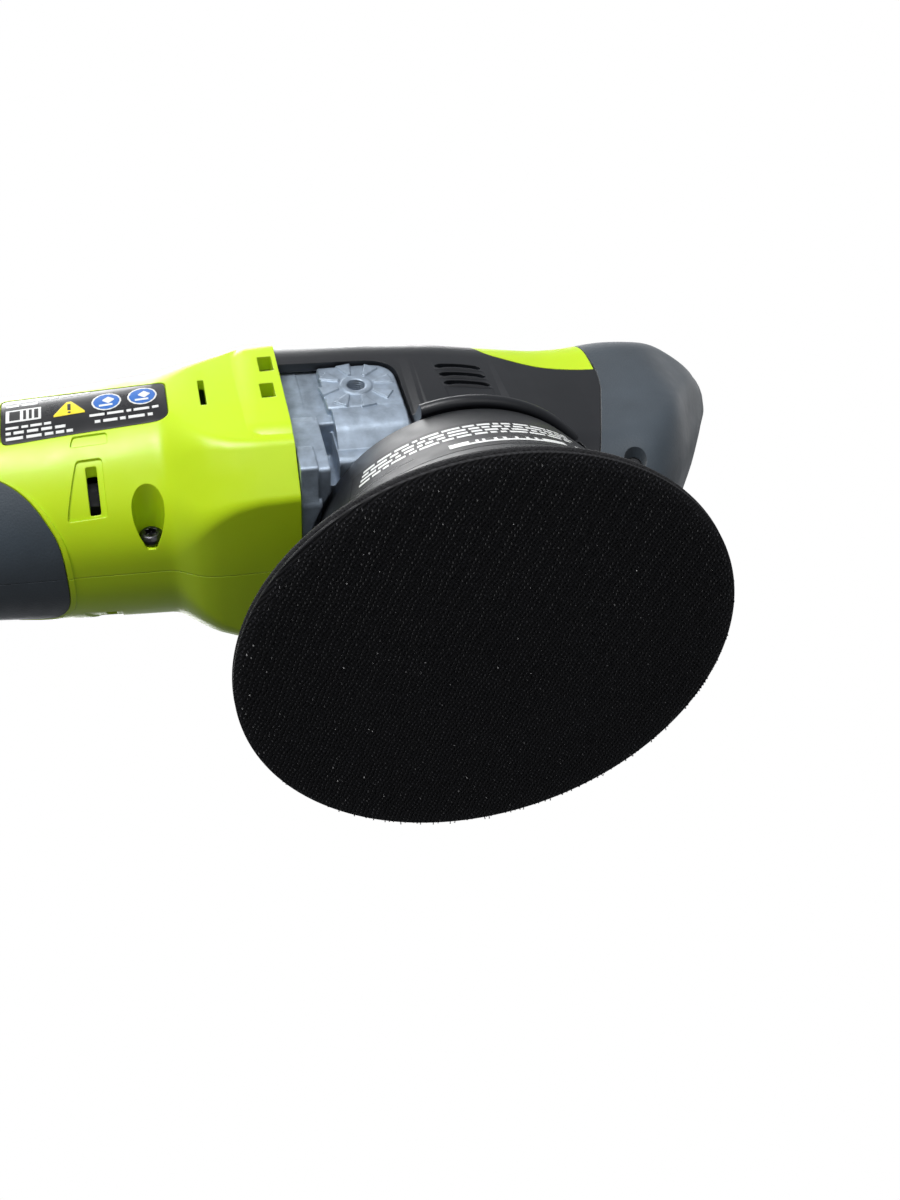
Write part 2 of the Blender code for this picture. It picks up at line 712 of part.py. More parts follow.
def counterweight_hub():
    """Hub round the eccentric bearings, with a weight on the far side of the spindle."""
    hub = rod("counterweight_hub", "Z", (ECCENTRIC, 0, 0), 17.0, 23.2, 46.0, "steel", 24)
    weight_arc = arc((0, 0), 35.0, -70, 70, 15)
    root_arc = arc((0, 0), 10.0, 60, -60, 7)
    join(hub, prism("weight", weight_arc + root_arc, "Z", 27.0, 40.0))
    join(hub, rod("hub_socket", "Z", (0, 0, 0), 10.0, 42.0, 51.5, sides=16))
    cut(hub, rod("hub_bearing_bore", "Z", (ECCENTRIC, 0, 0), 13.4, 20.0, 41.2, sides=24))
    return cut(hub, rod("hub_spindle_bore", "Z", (0, 0, 0), 6.4, 43.0, 55.0, sides=16))


def spindle_assembly():
    spindle_axis = axis_empty("spindle_axis", (0, 0, 0))
    spindle = turned("spindle", [(0, 93.6), (5, 93.6), (5, 85.6), (6, 85.6), (6, 43.4), (0, 43.4)],
                     "steel", steps=24)
    gear = bevel_gear("driven_gear", "Z", GEAR_TEETH, GEAR_PITCH_RADIUS, PINION_PITCH_RADIUS,
                      MOTOR_Z - 63.3, 6.3, 0.0, "steel")
    centre = (ECCENTRIC, 0, 0)
    upper = bearing("eccentric_bearing_upper", centre, 5.2, 13.0, 32.6, 40.6)
    lower = bearing("eccentric_bearing_lower", centre, 5.2, 13.0, 24.0, 32.0)
    attach(spindle_axis, spindle, gear, counterweight_hub(), upper, lower)

    pad_axis = axis_empty("pad_axis", centre, spindle_axis)
    shaft = turned("pad_shaft", [(0, 40.9), (4.9, 40.9), (4.9, 22.6), (11, 22.6), (11, 19.4),
                                 (4, 19.4), (4, 10.6), (0, 10.6)], "steel", centre=centre,
                   steps=24)
    plate = turned("pad_plate", [(12.5, 19.1), (14, 18.2), (15.5, 13.8), (48, 12.4), (50, 11.2),
                                 (50, 9.6), (4.4, 9.6), (4.4, 19.1)], "black_plastic",
                   centre=centre, steps=24)
    foam = turned("pad_foam", [(0, 9.3), (56, 9.3), (61, 8.0), (62.5, 5.6), (62.5, 1.9), (0, 1.9)],
                  "foam", centre=centre, steps=40)
    hooks = turned("hook_face", [(0, 1.6), (62.2, 1.6), (62.2, 0.0), (0, 0.0)], "hook_fabric",
                   centre=centre, steps=40)
    attach(pad_axis, shaft, plate, foam, hooks)


# ---------------------------------------------------------------- motor

def magnet(name, start, end):
    outer = arc((0, MOTOR_Z), 17.2, start, end, 9)
    inner = arc((0, MOTOR_Z), 14.2, end, start, 9)
    return prism(name, outer + inner, "X", -108.0, -76.0, "magnet")


def motor_can():
    can = turned("motor_can", [(19, MOTOR_FRONT), (19, MOTOR_REAR), (17.5, MOTOR_REAR),
                               (17.5, MOTOR_FRONT - 2), (5.5, MOTOR_FRONT - 2),
                               (5.5, MOTOR_FRONT)], "steel", "X", (0, 0, MOTOR_Z), steps=20)
    return can


def armature():
    """Laminated core with twelve winding slots."""
    slots = 12
    outline = []
    for slot in range(slots):
        base = 360 * slot / slots
        outline += arc((0, MOTOR_Z), 13.6, base - 10, base + 10, 3)
        outline += arc((0, MOTOR_Z), 10.5, base + 13, base + 17, 2)
    core = prism("armature", outline, "X", -107.0, -77.0, "copper")
    return cut(core, rod("armature_bore", "X", (0, 0, MOTOR_Z), 3.3, -110, -70, sides=16))


def cooling_fan():
    """Disc with eight vanes behind the gear case."""
    fan = turned("cooling_fan", [(22, -59.0), (22, -60.6), (3.3, -60.6), (3.3, -52.0),
                                 (7, -52.0), (7, -59.0)], "black_plastic", "X", (0, 0, MOTOR_Z),
                 steps=20)
    vanes = 8
    for vane in range(vanes):
        angle = 2 * pi * vane / vanes
        outline = []
        for radius, side in ((6, -0.7), (21, -0.7), (21, 0.7), (6, 0.7)):
            outline.append((radius * cos(angle) - side * sin(angle),
                            MOTOR_Z + radius * sin(angle) + side * cos(angle)))
        join(fan, prism(f"vane_{vane}", outline, "X", -59.5, -52.5))
    return fan


def brush_carrier():
    """End bell with a guide for each carbon brush and the rear bearing's seat."""
    carrier = turned("brush_carrier", [(18.6, -124.3), (18.6, -133), (8.2, -133), (8.2, -127),
                                       (11, -127), (11, -124.3)], "black_plastic", "X",
                     (0, 0, MOTOR_Z), steps=20)
    return carrier


def brush(name, side):
    low, high = sorted((side * 6.5, side * 15.5))
    return box(name, (-121.5, low, MOTOR_Z - 2.2), (-116.0, high, MOTOR_Z + 2.2), "carbon")


def motor():
    motor_can()
    magnet("magnet_left", 130, 230)
    magnet("magnet_right", -50, 50)
    brush_carrier()
    brush("brush_left", -1)
    brush("brush_right", 1)
    bearing("rear_motor_bearing", (0, 0, MOTOR_Z), 3.3, 7.9, -132.5, -127.5, "X")

    axis = (0, 0, MOTOR_Z)
    motor_axis = axis_empty("motor_axis", axis)
    shaft = turned("motor_shaft", [(0, -12.5), (3, -12.5), (3, -34.5), (4, -34.5), (4, -48),
                                   (3, -48), (3, -134), (0, -134)], "steel", "X", axis, steps=16)
    pinion = bevel_gear("pinion", "X", PINION_TEETH, PINION_PITCH_RADIUS, GEAR_PITCH_RADIUS,
                        32.0, 3.3, pi / PINION_TEETH - pi / 2, "steel")
    commutator = turned("commutator", [(6.2, -112.0), (6.2, -123.0), (3.3, -123.0),
                                       (3.3, -112.0)], "copper", "X", axis, steps=24)
    attach(motor_axis, shaft, pinion, armature(), commutator, cooling_fan())


# ---------------------------------------------------------------- controls

def coil(name, start, end, radius, wire, turns, direction):
    """Compression spring as one swept wire between two points on a straight line."""
    start, end = Vector(start), Vector(end)
    along = (end - start).normalized()
    across = Vector(direction)
    other = along.cross(across)
    per_turn = 8
    count = turns * per_turn + 1
    curve = bpy.data.curves.new(name, "CURVE")
    curve.dimensions = "3D"
    curve.bevel_depth = wire / 2 * MM
    curve.bevel_resolution = 0
    curve.use_fill_caps = True
    spline = curve.splines.new("POLY")
    spline.points.add(count - 1)
    for i in range(count):
        angle = 2 * pi * i / per_turn
        centre = start + (end - start) * i / (count - 1)
        point = centre + (across * cos(angle) + other * sin(angle)) * radius
        spline.points[i].co = (*(point * MM), 1.0)
    curve.materials.append(MATERIALS["steel"])
    obj = bpy.data.objects.new(name, curve)
    PARTS.objects.link(obj)
    return obj


def trigger():
    outline = [(-140.6, 59.5), (-140.6, 52), (-143, 49), (-150, 46.9), (-176, 45.2),
               (-198, 46.2), (-205, 49), (-207, 53), (-207, 57), (-150, 59.5)]
    lever = prism("trigger", outline, "Y", -9.7, 9.7, "black_plastic")
    cut(lever, rod("trigger_bore", "Y", TRIGGER_PIVOT, 1.9, -15, 15, sides=8))
    rod("trigger_pin", "Y", TRIGGER_PIVOT, 1.5, -12.4, 12.4, "steel", 12)
    attach(axis_empty("trigger_axis", TRIGGER_PIVOT), lever)
    coil("trigger_spring", (-186, 0, 58.7), (-186, 0, 63.3), 3.0, 0.8, 4, (1, 0, 0))


def lock_button():
    x, _, z = LOCK_CENTRE
    button = turned("lock_button", [(0, 27.4), (4.2, 27.4), (5.0, 26.6), (5.0, 18.0), (6.6, 18.0),
                                    (6.6, 16.4), (0, 16.4)], "black_plastic", "Y", (x, 0, z),
                    steps=20)
    button.rotation_euler = (pi / 2, 0, 0)
    attach(axis_empty("lock_axis", LOCK_CENTRE), button)
    coil("lock_spring", (x, -15.8, z), (x, -8.7, z), 3.0, 0.7, 5, (1, 0, 0))


def speed_dial():
    """Thumbwheel with a knurled rim and a stub axle at each side."""
    ridges = 18
    outline = []
    for ridge in range(ridges):
        base = 360 * ridge / ridges
        centre = (DIAL_CENTRE[0], DIAL_CENTRE[2])
        outline += arc(centre, DIAL_RADIUS, base - 4, base + 4, 2)
        outline += arc(centre, DIAL_RADIUS - 0.7, base + 7, base + 13, 2)
    dial = prism("speed_dial", outline, "Y", -4.5, 4.5, "black_plastic")
    join(dial, rod("dial_axle", "Y", DIAL_CENTRE, 2.0, -8.5, 8.5, sides=12))
    attach(axis_empty("dial_axis", DIAL_CENTRE), dial)


def electrics():
    box("switch_body", (-192, -8, 64), (-158, 8, 80), "black_plastic", bevel=1.0)
    box("control_board", (-152, -15, 62), (-150.4, 15, 91), "circuit_green")
    block = box("terminal_block", (-216, -10, 63), (-203, 10, 78), "black_plastic")
    for index, y in enumerate((-6, 0, 6)):
        blade = box(f"terminal_blade_{index}", (-226, y - 0.4, 67), (-215, y + 0.4, 75))
        join(block, blade)


# ---------------------------------------------------------------- battery pack

def rounded_box(name, low, high, bevel, material=None, segments=2):
    obj = box(name, low, high, material)
    add_modifier(obj, "BEVEL", width=bevel * MM, segments=segments, limit_method="ANGLE")
    return obj


PACK_HALF_WIDTH = 37.5
PACK_LOW, PACK_HIGH = 24.5, 128.5
PACK_SPLIT = -290.0


def pack_region(name, start, end):
    return box(name, (start, -60, 0), (end, 60, 160))


def pack_cavity(name):
    return rounded_box(name, (PACK_REAR + PACK_WALL, -PACK_HALF_WIDTH + PACK_WALL,
                              PACK_LOW + PACK_WALL),
                       (PACK_FRONT - PACK_WALL, PACK_HALF_WIDTH - PACK_WALL,
                        PACK_HIGH - PACK_WALL), 3.0)


def pack_shell(name, start, end, material):
    shell = rounded_box(name, (PACK_REAR, -PACK_HALF_WIDTH, PACK_LOW),
                        (PACK_FRONT, PACK_HALF_WIDTH, PACK_HIGH), 7.0, material, 3)
    cut(shell, pack_cavity(name + "_cavity"))
    return keep(shell, pack_region(name + "_region", start, end))


def pack_front():
    """Front shell with the stem that slides into the handle."""
    shell = pack_shell("battery_front_shell", PACK_SPLIT + GAP, -255, "black_plastic")
    stem = rounded_box("stem", (PACK_FRONT - 1.5, -14, 60), (-221, 14, 93), 3.0)
    join(shell, stem)
    cut(shell, box("stem_hollow", (-268, -11, 63), (-229, 11, 90)))
    for index, y in enumerate((-6, 0, 6)):
        cut(shell, box(f"stem_slot_{index}", (-235, y - 1.0, 65), (-215, y + 1.0, 77)))
    for side in (-1, 1):
        low, high = sorted((side * 30, side * 45))
        cut(shell, box(f"latch_window_{side}", (-278.0, low, 65), (-269.5, high, 88)))
    return shell


def latch(name, side):
    """Side button that stays in its window by a flange behind the wall."""
    low, high = sorted((side * 34.5, side * 38.9))
    button = box(name, (-277.6, low, 65.5), (-269.9, high, 87.5), "lime_plastic")
    low, high = sorted((side * 33.0, side * 34.7))
    return join(button, box(name + "_flange", (-278.9, low, 64.2), (-268.6, high, 88.8)))


def cell_pack():
    """Ten cells in two columns, held by a frame at each end."""
    frame = box("cell_pack", (-316.0, -31, 29.5), (-279.4, -28, 123.5), "cell_sleeve")
    join(frame, box("cell_frame_right", (-316.0, 28, 29.5), (-279.4, 31, 123.5)))
    for column in (-288.4, -307.0):
        for row in range(5):
            centre = (column, 0, MOTOR_Z + (row - 2) * 18.6)
            cell = rod(f"cell_{column:.0f}_{row}", "Y", centre, 9.0, -32.5, 32.5, sides=8)
            join(frame, cell)
    return frame


def battery():
    axis = axis_empty("battery_axis", (PACK_FRONT, 0, MOTOR_Z))
    rear = pack_shell("battery_rear_shell", PACK_REAR - 5, PACK_SPLIT, "black_plastic")
    attach(axis, pack_front(), rear, cell_pack())
    for name, side in (("latch_left", -1), ("latch_right", 1)):
        latch_axis = axis_empty(name + "_axis", (-271.5, side * 34.5, MOTOR_Z), axis)
        attach(latch_axis, latch(name, side))


motor_body()
head()
spindle_assembly()
motor()
trigger()
lock_button()
speed_dial()
electrics()
battery()
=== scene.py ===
"""Looks of the cordless inline sander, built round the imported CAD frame.

Sizes are in millimetres, in the frame of the CAD part: spindle axis at the pad face, +X to the
nose, -X to the battery, +Z up. They are turned into metres where a mesh is made.
"""
import json
import random
from collections import namedtuple
from math import cos, pi, radians, sin, sqrt

import bmesh
import bpy
import numpy as np
from mathutils import Matrix, Vector
from mathutils.bvhtree import BVHTree

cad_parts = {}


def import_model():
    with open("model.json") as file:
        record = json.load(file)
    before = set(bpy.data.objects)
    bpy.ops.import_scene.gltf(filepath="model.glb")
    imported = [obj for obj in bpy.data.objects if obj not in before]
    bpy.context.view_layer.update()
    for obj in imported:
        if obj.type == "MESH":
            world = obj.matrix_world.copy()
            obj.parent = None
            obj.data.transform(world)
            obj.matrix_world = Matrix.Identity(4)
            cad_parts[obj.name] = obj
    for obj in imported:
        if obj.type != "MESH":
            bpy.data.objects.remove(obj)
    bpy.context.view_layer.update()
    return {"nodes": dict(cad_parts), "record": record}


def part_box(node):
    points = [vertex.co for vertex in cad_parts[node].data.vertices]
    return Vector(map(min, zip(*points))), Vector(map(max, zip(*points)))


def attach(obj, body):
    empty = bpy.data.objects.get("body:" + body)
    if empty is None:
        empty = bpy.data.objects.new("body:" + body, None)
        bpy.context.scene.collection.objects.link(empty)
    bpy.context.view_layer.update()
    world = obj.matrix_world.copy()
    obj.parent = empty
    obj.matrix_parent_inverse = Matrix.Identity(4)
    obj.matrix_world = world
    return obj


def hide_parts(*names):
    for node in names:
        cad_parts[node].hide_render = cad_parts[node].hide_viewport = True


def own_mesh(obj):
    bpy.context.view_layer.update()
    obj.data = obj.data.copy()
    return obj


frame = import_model()

MM = 0.001
RECORD = frame["record"]
BODY_OF = {node: body for body, nodes in RECORD["behaviour"]["bodies"].items() for node in nodes}
SLOT_OF = {entry["node"]: entry["material_slot"] for entry in RECORD["subparts"]}


def cad(node):
    """Lowest and highest corner of a CAD node, in millimetres."""
    low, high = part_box(node)
    return Vector(low) / MM, Vector(high) / MM


# ---------------------------------------------------------------- driving dimensions

SHELL = cad("housing_left")
BODY_REAR, BODY_FRONT = SHELL[0].x, SHELL[1].x
MOTOR_Z = 76.5
WALL = 3.0
RUBBER = 1.4
NOSE_RUBBER = 3.0
COVER_WALL = 2.6
SEAM = 0.09               # half of the parting line between the two halves
FIT = 0.3                 # gap round an inset piece
ECCENTRIC = -4.0          # the pad's axis, from the spindle's
SIDES = (-1, 1)           # left and right along Y
ACROSS = (-50, 50)        # further than any piece reaches to the sides
BODY_REACH, HEAD_REACH = 1.6, 5.0     # how far kinks between stations are smoothed
GRIP_SPAN, LABEL_SPAN = (-245, -95), (-125, -66)
SHROUD_LOW, SHROUD_HIGH = cad("shroud")[0].z, cad("shroud")[1].z
CASE_LEFT = cad("gear_case")[0].x

TRIGGER_PIVOT = (-144.0, 0.0, 56.0)
LOCK_X, LOCK_Z = -178.0, 74.0
DIAL_X, DIAL_Z, DIAL_RADIUS = -205.0, 92.5, 11.5
HOUSING_SCREWS = ((-81.0, 50.5), (-81.0, 102.5), (-146.0, 96.5), (-213.5, 56.5))
CASE_SCREWS = ((-23.0, 52.0), (23.0, 52.0), (-21.0, 98.5), (21.0, 98.5))
BOSS_X, BOSS_Y, BOSS_Z = -23.8, 29.6, 79.0

Station = namedtuple("Station", "x z side top bottom upper lower round")

BODY = tuple(Station(x, MOTOR_Z, *distances) for x, *distances in (
    (-262, 33.0, 33.5, 33.5, 34.0, 34.0, 24),
    (-250, 30.5, 31.0, 31.0, 31.5, 31.5, 24),
    (-238, 26.8, 27.3, 27.0, 27.2, 27.2, 22),
    (-222, 25.0, 25.4, 25.2, 25.2, 25.2, 21),
    (-160, 25.6, 25.8, 26.0, 26.0, 25.8, 22),
    (-119, 28.9, 28.9, 29.1, 29.1, 28.6, 25),
    (-100, 30.4, 30.6, 29.7, 30.6, 30.2, 26),
    (-76, 32.3, 32.2, 30.4, 32.8, 31.2, 26),
    (-70, 33.0, 32.4, 33.8, 33.3, 35.4, 14),
    (-66, 33.2, 32.6, 34.7, 33.8, 37.8, 8),
    (-60, 33.3, 33.0, 34.9, 35.0, 40.0, 5),
    (-54, 33.4, 33.5, 34.9, 37.0, 40.8, 4),
    (-44, 33.4, 34.0, 34.9, 38.0, 41.0, 3.5),
))

HEAD = (
    Station(-43.7, 76.5, 31.0, 36.0, 36.0, 38.6, 39.5, 18),
    Station(-23, 76.5, 30.5, 36.0, 36.0, 38.0, 39.0, 18),
    Station(0, 76.5, 29.5, 35.3, 36.0, 36.6, 38.4, 18),
    Station(18, 76.5, 27.0, 34.2, 36.0, 34.4, 36.6, 18),
    Station(32, 76.5, 24.4, 33.4, 36.0, 33.2, 35.2, 17),
    Station(42, 76.5, 24.4, 33.8, 37.0, 33.4, 35.8, 17),
    Station(52, 76.5, 26.0, 34.8, 37.0, 34.4, 36.8, 17),
    Station(62, 78.6, 27.0, 34.0, 28.4, 31.5, 32.5, 16),
    Station(70, 86.0, 21.7, 24.9, 22.1, 26.6, 22.8, 12.5),
    Station(77, 89.2, 17.7, 18.8, 15.7, 19.5, 15.3, 10),
    Station(82, 93.0, 13.5, 11.6, 9.3, 13.3, 10.1, 7),
    Station(85.3, 95.6, 8.8, 7.6, 6.4, 8.6, 6.8, 5),
    Station(86.9, 96.4, 5.3, 4.8, 4.0, 5.3, 4.2, 3.2),
    Station(87.5, 96.7, 2.6, 2.4, 2.0, 2.6, 2.1, 1.6),
)


# ---------------------------------------------------------------- materials

def new_node(tree, kind, inputs=(), **settings):
    made = tree.nodes.new(kind)
    for key, value in settings.items():
        setattr(made, key, value)
    for socket, value in dict(inputs).items():
        made.inputs[socket].default_value = value
    return made


def span(start, end, low=0.0, high=1.0):
    """Inputs of a Map Range node that takes start to end on to low to high."""
    return {"From Min": start, "From Max": end, "To Min": low, "To Max": high}


class Shader:
    """A Principled material with helpers for its procedural detail, in object coordinates."""

    def __init__(self, name, colour, rough, metal=0.0, soften=0.35, **sockets):
        self.material = bpy.data.materials.new(name)
        self.material.use_nodes = True
        self.tree = self.material.node_tree
        self.bsdf = self.tree.nodes["Principled BSDF"]
        self.colour = colour
        self.rough = rough
        self.set("Base Color", (*colour, 1))
        self.set("Roughness", rough)
        self.set("Metallic", metal)
        for socket, value in sockets.items():
            self.set(socket.replace("_", " "), value)
        self.place = self.node("ShaderNodeTexCoord").outputs["Object"]
        edge = self.node("ShaderNodeBevel", inputs={"Radius": soften * MM}, samples=4)
        self.normal = edge.outputs["Normal"]
        self.link(self.normal, self.bsdf.inputs["Normal"])

    def set(self, socket, value):
        self.bsdf.inputs[socket].default_value = value

    def node(self, kind, **settings):
        return new_node(self.tree, kind, **settings)

    def link(self, source, target):
        self.tree.links.new(source, target)

    def noise(self, size, detail=2.0, stretch=(1, 1, 1)):
        """Noise whose features are about size millimetres across."""
        mapping = self.node("ShaderNodeMapping", inputs={"Scale": stretch})
        self.link(self.place, mapping.inputs["Vector"])
        made = self.node("ShaderNodeTexNoise", inputs={"Scale": 1 / (size * MM), "Detail": detail})
        self.link(mapping.outputs["Vector"], made.inputs["Vector"])
        return made.outputs["Fac"]

    def cells(self, size):
        made = self.node("ShaderNodeTexVoronoi", inputs={"Scale": 1 / (size * MM)})
        self.link(self.place, made.inputs["Vector"])
        return made.outputs["Distance"]

    def scaled(self, value, low, high, start=0.3, end=0.7):
        """A value from start to end, mapped to low to high."""
        made = self.node("ShaderNodeMapRange", inputs=span(start, end, low, high))
        self.link(value, made.inputs["Value"])
        return made.outputs["Result"]

    def tint(self, value, first, second, start=0.3, end=0.7):
        """Base colour that goes from first to second with a value."""
        made = self.node("ShaderNodeMix", data_type="RGBA", inputs={"A": (*first, 1), "B": (*second, 1)})
        self.link(self.scaled(value, 0.0, 1.0, start, end), made.inputs["Factor"])
        self.link(made.outputs["Result"], self.bsdf.inputs["Base Color"])
        return self

    def gloss(self, value, low, high):
        self.link(self.scaled(value, low, high), self.bsdf.inputs["Roughness"])
        return self

    def bump(self, value, depth, strength=1.0):
        """Adds relief depth millimetres high."""
        made = self.node("ShaderNodeBump", inputs={"Strength": strength, "Distance": depth * MM})
        self.link(value, made.inputs["Height"])
        self.link(self.normal, made.inputs["Normal"])
        self.normal = made.outputs["Normal"]
        self.link(self.normal, self.bsdf.inputs["Normal"])
        return self


def shade(colour, factor):
    return tuple(min(channel * factor, 1.0) for channel in colour)


def moulded(name, colour, rough, grain, depth, variation=0.06, **sockets):
    """Spark-eroded moulded plastic: fine grain, faint flow marks and handling shine."""
    made = Shader(name, colour, rough, **sockets)
    flow = made.noise(26.0, 3.0)
    made.tint(flow, shade(colour, 1 - variation), shade(colour, 1 + variation))
    made.gloss(made.noise(7.0, 4.0), rough - 0.05, rough + 0.06)
    made.bump(made.noise(grain, 3.0), depth)
    return made.bump(made.noise(9.0), 0.02)


def rubber(name, colour, rough, grain, depth):
    """Soft overmould: pebbled grain, dusty lows and a faint sheen."""
    made = Shader(name, colour, rough, Sheen_Weight=0.25, Sheen_Roughness=0.5)
    dust = made.noise(14.0, 5.0)
    made.tint(dust, shade(colour, 0.86), shade(colour, 1.18))
    made.gloss(made.noise(4.0, 3.0), rough - 0.06, rough + 0.08)
    made.bump(made.cells(grain), depth)
    return made.bump(made.noise(grain * 0.45, 2.0), depth * 0.5)


def metal(name, colour, rough, grain, depth, variation=0.12, stretch=(1, 1, 1)):
    made = Shader(name, colour, rough, metal=1.0)
    made.tint(made.noise(5.0, 4.0), shade(colour, 1 - variation), shade(colour, 1 + variation))
    made.gloss(made.noise(1.6, 3.0, stretch), max(rough - 0.09, 0.05), rough + 0.1)
    return made.bump(made.noise(grain, 4.0, stretch), depth)


def cast_alloy():
    """Die-cast alloy: rough skin, dull film in patches, small pits."""
    colour = (0.36, 0.43, 0.52)
    made = Shader("cast_alloy", colour, 0.46, metal=0.65, soften=0.6)
    made.tint(made.noise(3.5, 6.0), shade(colour, 0.80), shade(colour, 1.25))
    made.gloss(made.noise(1.1, 4.0), 0.38, 0.54)
    made.bump(made.noise(0.55, 4.0), 0.045)
    return made.bump(made.cells(1.7), 0.03, 0.5)


def foam():
    made = Shader("pad_foam", (0.008, 0.008, 0.009), 0.9)
    made.tint(made.cells(0.7), (0.003, 0.003, 0.004), (0.013, 0.013, 0.015), 0.0, 0.6)
    return made.bump(made.cells(0.7), 0.25)


def hook_nylon():
    """Black nylon hooks, their moulded tips shining."""
    made = Shader("hook_nylon", (0.012, 0.012, 0.015), 0.34, soften=0.02, Coat_Weight=0.35,
                  Coat_Roughness=0.2)
    made.tint(made.noise(2.4, 2.0), (0.003, 0.003, 0.0045), (0.014, 0.014, 0.018))
    return made.gloss(made.noise(0.8), 0.24, 0.46)


def woven_backing():
    made = Shader("hook_backing", (0.008, 0.008, 0.01), 0.8, soften=0.1)
    wave = made.node("ShaderNodeTexWave", inputs={"Scale": 420.0, "Distortion": 2.0},
                     bands_direction="DIAGONAL")
    made.link(made.place, wave.inputs["Vector"])
    made.tint(wave.outputs["Fac"], (0.004, 0.004, 0.005), (0.016, 0.016, 0.019), 0.0, 1.0)
    return made.bump(wave.outputs["Fac"], 0.15)


LIME = (0.56, 0.79, 0.010)
SLATE = (0.037, 0.051, 0.066)
BLACK = (0.018, 0.019, 0.022)

MATERIALS = {
    "lime": moulded("lime_plastic", LIME, 0.36, 0.30, 0.012, 0.035,
                    Subsurface_Weight=0.06, Subsurface_Scale=0.002),
    "slate_rubber": rubber("slate_rubber", SLATE, 0.56, 0.55, 0.035),
    "cover": moulded("cover_black", (0.0105, 0.0115, 0.0145), 0.38, 0.35, 0.014, 0.12),
    "shroud": moulded("shroud_black", (0.009, 0.010, 0.012), 0.46, 0.28, 0.012, 0.15),
    "black": moulded("black_plastic", BLACK, 0.42, 0.40, 0.02, 0.12),
    "pack": moulded("pack_black", (0.022, 0.023, 0.026), 0.50, 0.60, 0.03, 0.12),
    "alloy": cast_alloy(),
    "steel": metal("steel", (0.56, 0.57, 0.59), 0.28, 0.4, 0.006, 0.08, (1, 1, 12)),
    "black_steel": metal("black_steel", (0.07, 0.07, 0.075), 0.34, 0.3, 0.008),
    "bearing": metal("bearing_steel", (0.66, 0.67, 0.69), 0.16, 0.6, 0.002, 0.05),
    "copper": metal("copper", (0.70, 0.28, 0.13), 0.34, 0.5, 0.03, 0.15, (8, 1, 1)),
    "magnet": metal("magnet", (0.11, 0.11, 0.115), 0.5, 0.3, 0.02),
    "carbon": moulded("carbon", (0.02, 0.02, 0.021), 0.6, 0.2, 0.02, 0.2),
    "board": moulded("circuit_board", (0.012, 0.12, 0.035), 0.34, 0.5, 0.015, 0.25),
    "cells": moulded("cell_sleeve", (0.015, 0.10, 0.28), 0.3, 2.0, 0.01, 0.1),
    "foam": foam(),
    "hooks": hook_nylon(),
    "backing": woven_backing(),
    "label": moulded("label_film", (0.010, 0.010, 0.012), 0.3, 0.9, 0.006, 0.2,
                     Coat_Weight=0.4, Coat_Roughness=0.12),
    "film": moulded("print_film", (0.007, 0.007, 0.009), 0.5, 0.9, 0.004, 0.2),
    "ink_white": moulded("ink_white", (0.78, 0.79, 0.78), 0.42, 0.3, 0.004, 0.05),
    "ink_yellow": moulded("ink_yellow", (0.90, 0.72, 0.02), 0.4, 0.3, 0.004, 0.05),
    "ink_blue": moulded("ink_blue", (0.015, 0.14, 0.52), 0.4, 0.3, 0.004, 0.06),
    "ink_black": moulded("ink_black", (0.012, 0.012, 0.013), 0.42, 0.3, 0.004, 0.1),
}

FINISH_OF_SLOT = {
    "lime_plastic": "lime", "black_plastic": "black", "grey_rubber": "slate_rubber",
    "cast_aluminium": "alloy", "steel": "steel", "black_steel": "black_steel",
    "bearing_steel": "bearing", "copper": "copper", "carbon": "carbon", "magnet": "magnet",
    "circuit_green": "board", "foam": "foam", "hook_fabric": "backing", "cell_sleeve": "cells",
    "label_film": "label",
}

# painted shade: the motor can gets dark black steel so that the inside of the body reads dark through its
# openings
PAINTED_SHADE_FINISH_OF_NODE = {"motor_can": "black_steel"}


# ---------------------------------------------------------------- mesh helpers

def linked(name, data):
    obj = bpy.data.objects.new(name, data)
    bpy.context.scene.collection.objects.link(obj)
    return obj


def new_object(name, bm):
    """Object from a bmesh that is in millimetres."""
    bmesh.ops.scale(bm, vec=(MM, MM, MM), verts=bm.verts)
    bmesh.ops.recalc_face_normals(bm, faces=bm.faces)
    mesh = bpy.data.meshes.new(name)
    bm.to_mesh(mesh)
    bm.free()
    return linked(name, mesh)


def loft(name, rings, closed=False):
    """Solid through rings of equal length, flat at both ends, or a closed loop of rings."""
    bm = bmesh.new()
    loops = [[bm.verts.new(point) for point in ring] for ring in rings]
    pairs = list(zip(loops, loops[1:]))
    if closed:
        pairs.append((loops[-1], loops[0]))
    for first, second in pairs:
        for i, vert in enumerate(first):
            j = (i + 1) % len(first)
            bm.faces.new((vert, first[j], second[j], second[i]))
    if not closed:
        bm.faces.new(loops[0])
        bm.faces.new(loops[-1])
    return new_object(name, bm)


def flank_box(name, side, low, high, bevel=0.0, segments=3):
    """Box given for the right side, mirrored for side -1."""
    near, far = sorted((side * low[1], side * high[1]))
    return box(name, (low[0], near, low[2]), (high[0], far, high[2]), bevel, segments)


def box(name, low, high, bevel=0.0, segments=3):
    bm = bmesh.new()
    bmesh.ops.create_cube(bm, size=1.0)
    low, high = Vector(low), Vector(high)
    for vert in bm.verts:
        vert.co = (low + high) / 2 + vert.co * (high - low)
    if bevel:
        bmesh.ops.bevel(bm, geom=bm.edges[:], offset=bevel, segments=segments, profile=0.5, affect="EDGES")
    return new_object(name, bm)


AXIS_PLACES = {
    "X": lambda r, s, a: (s, r * cos(a), r * sin(a)),
    "Y": lambda r, s, a: (r * sin(a), s, r * cos(a)),
    "Z": lambda r, s, a: (r * cos(a), r * sin(a), s),
}


ON_AXIS = 1e-6            # a radius below this is a point on the axis


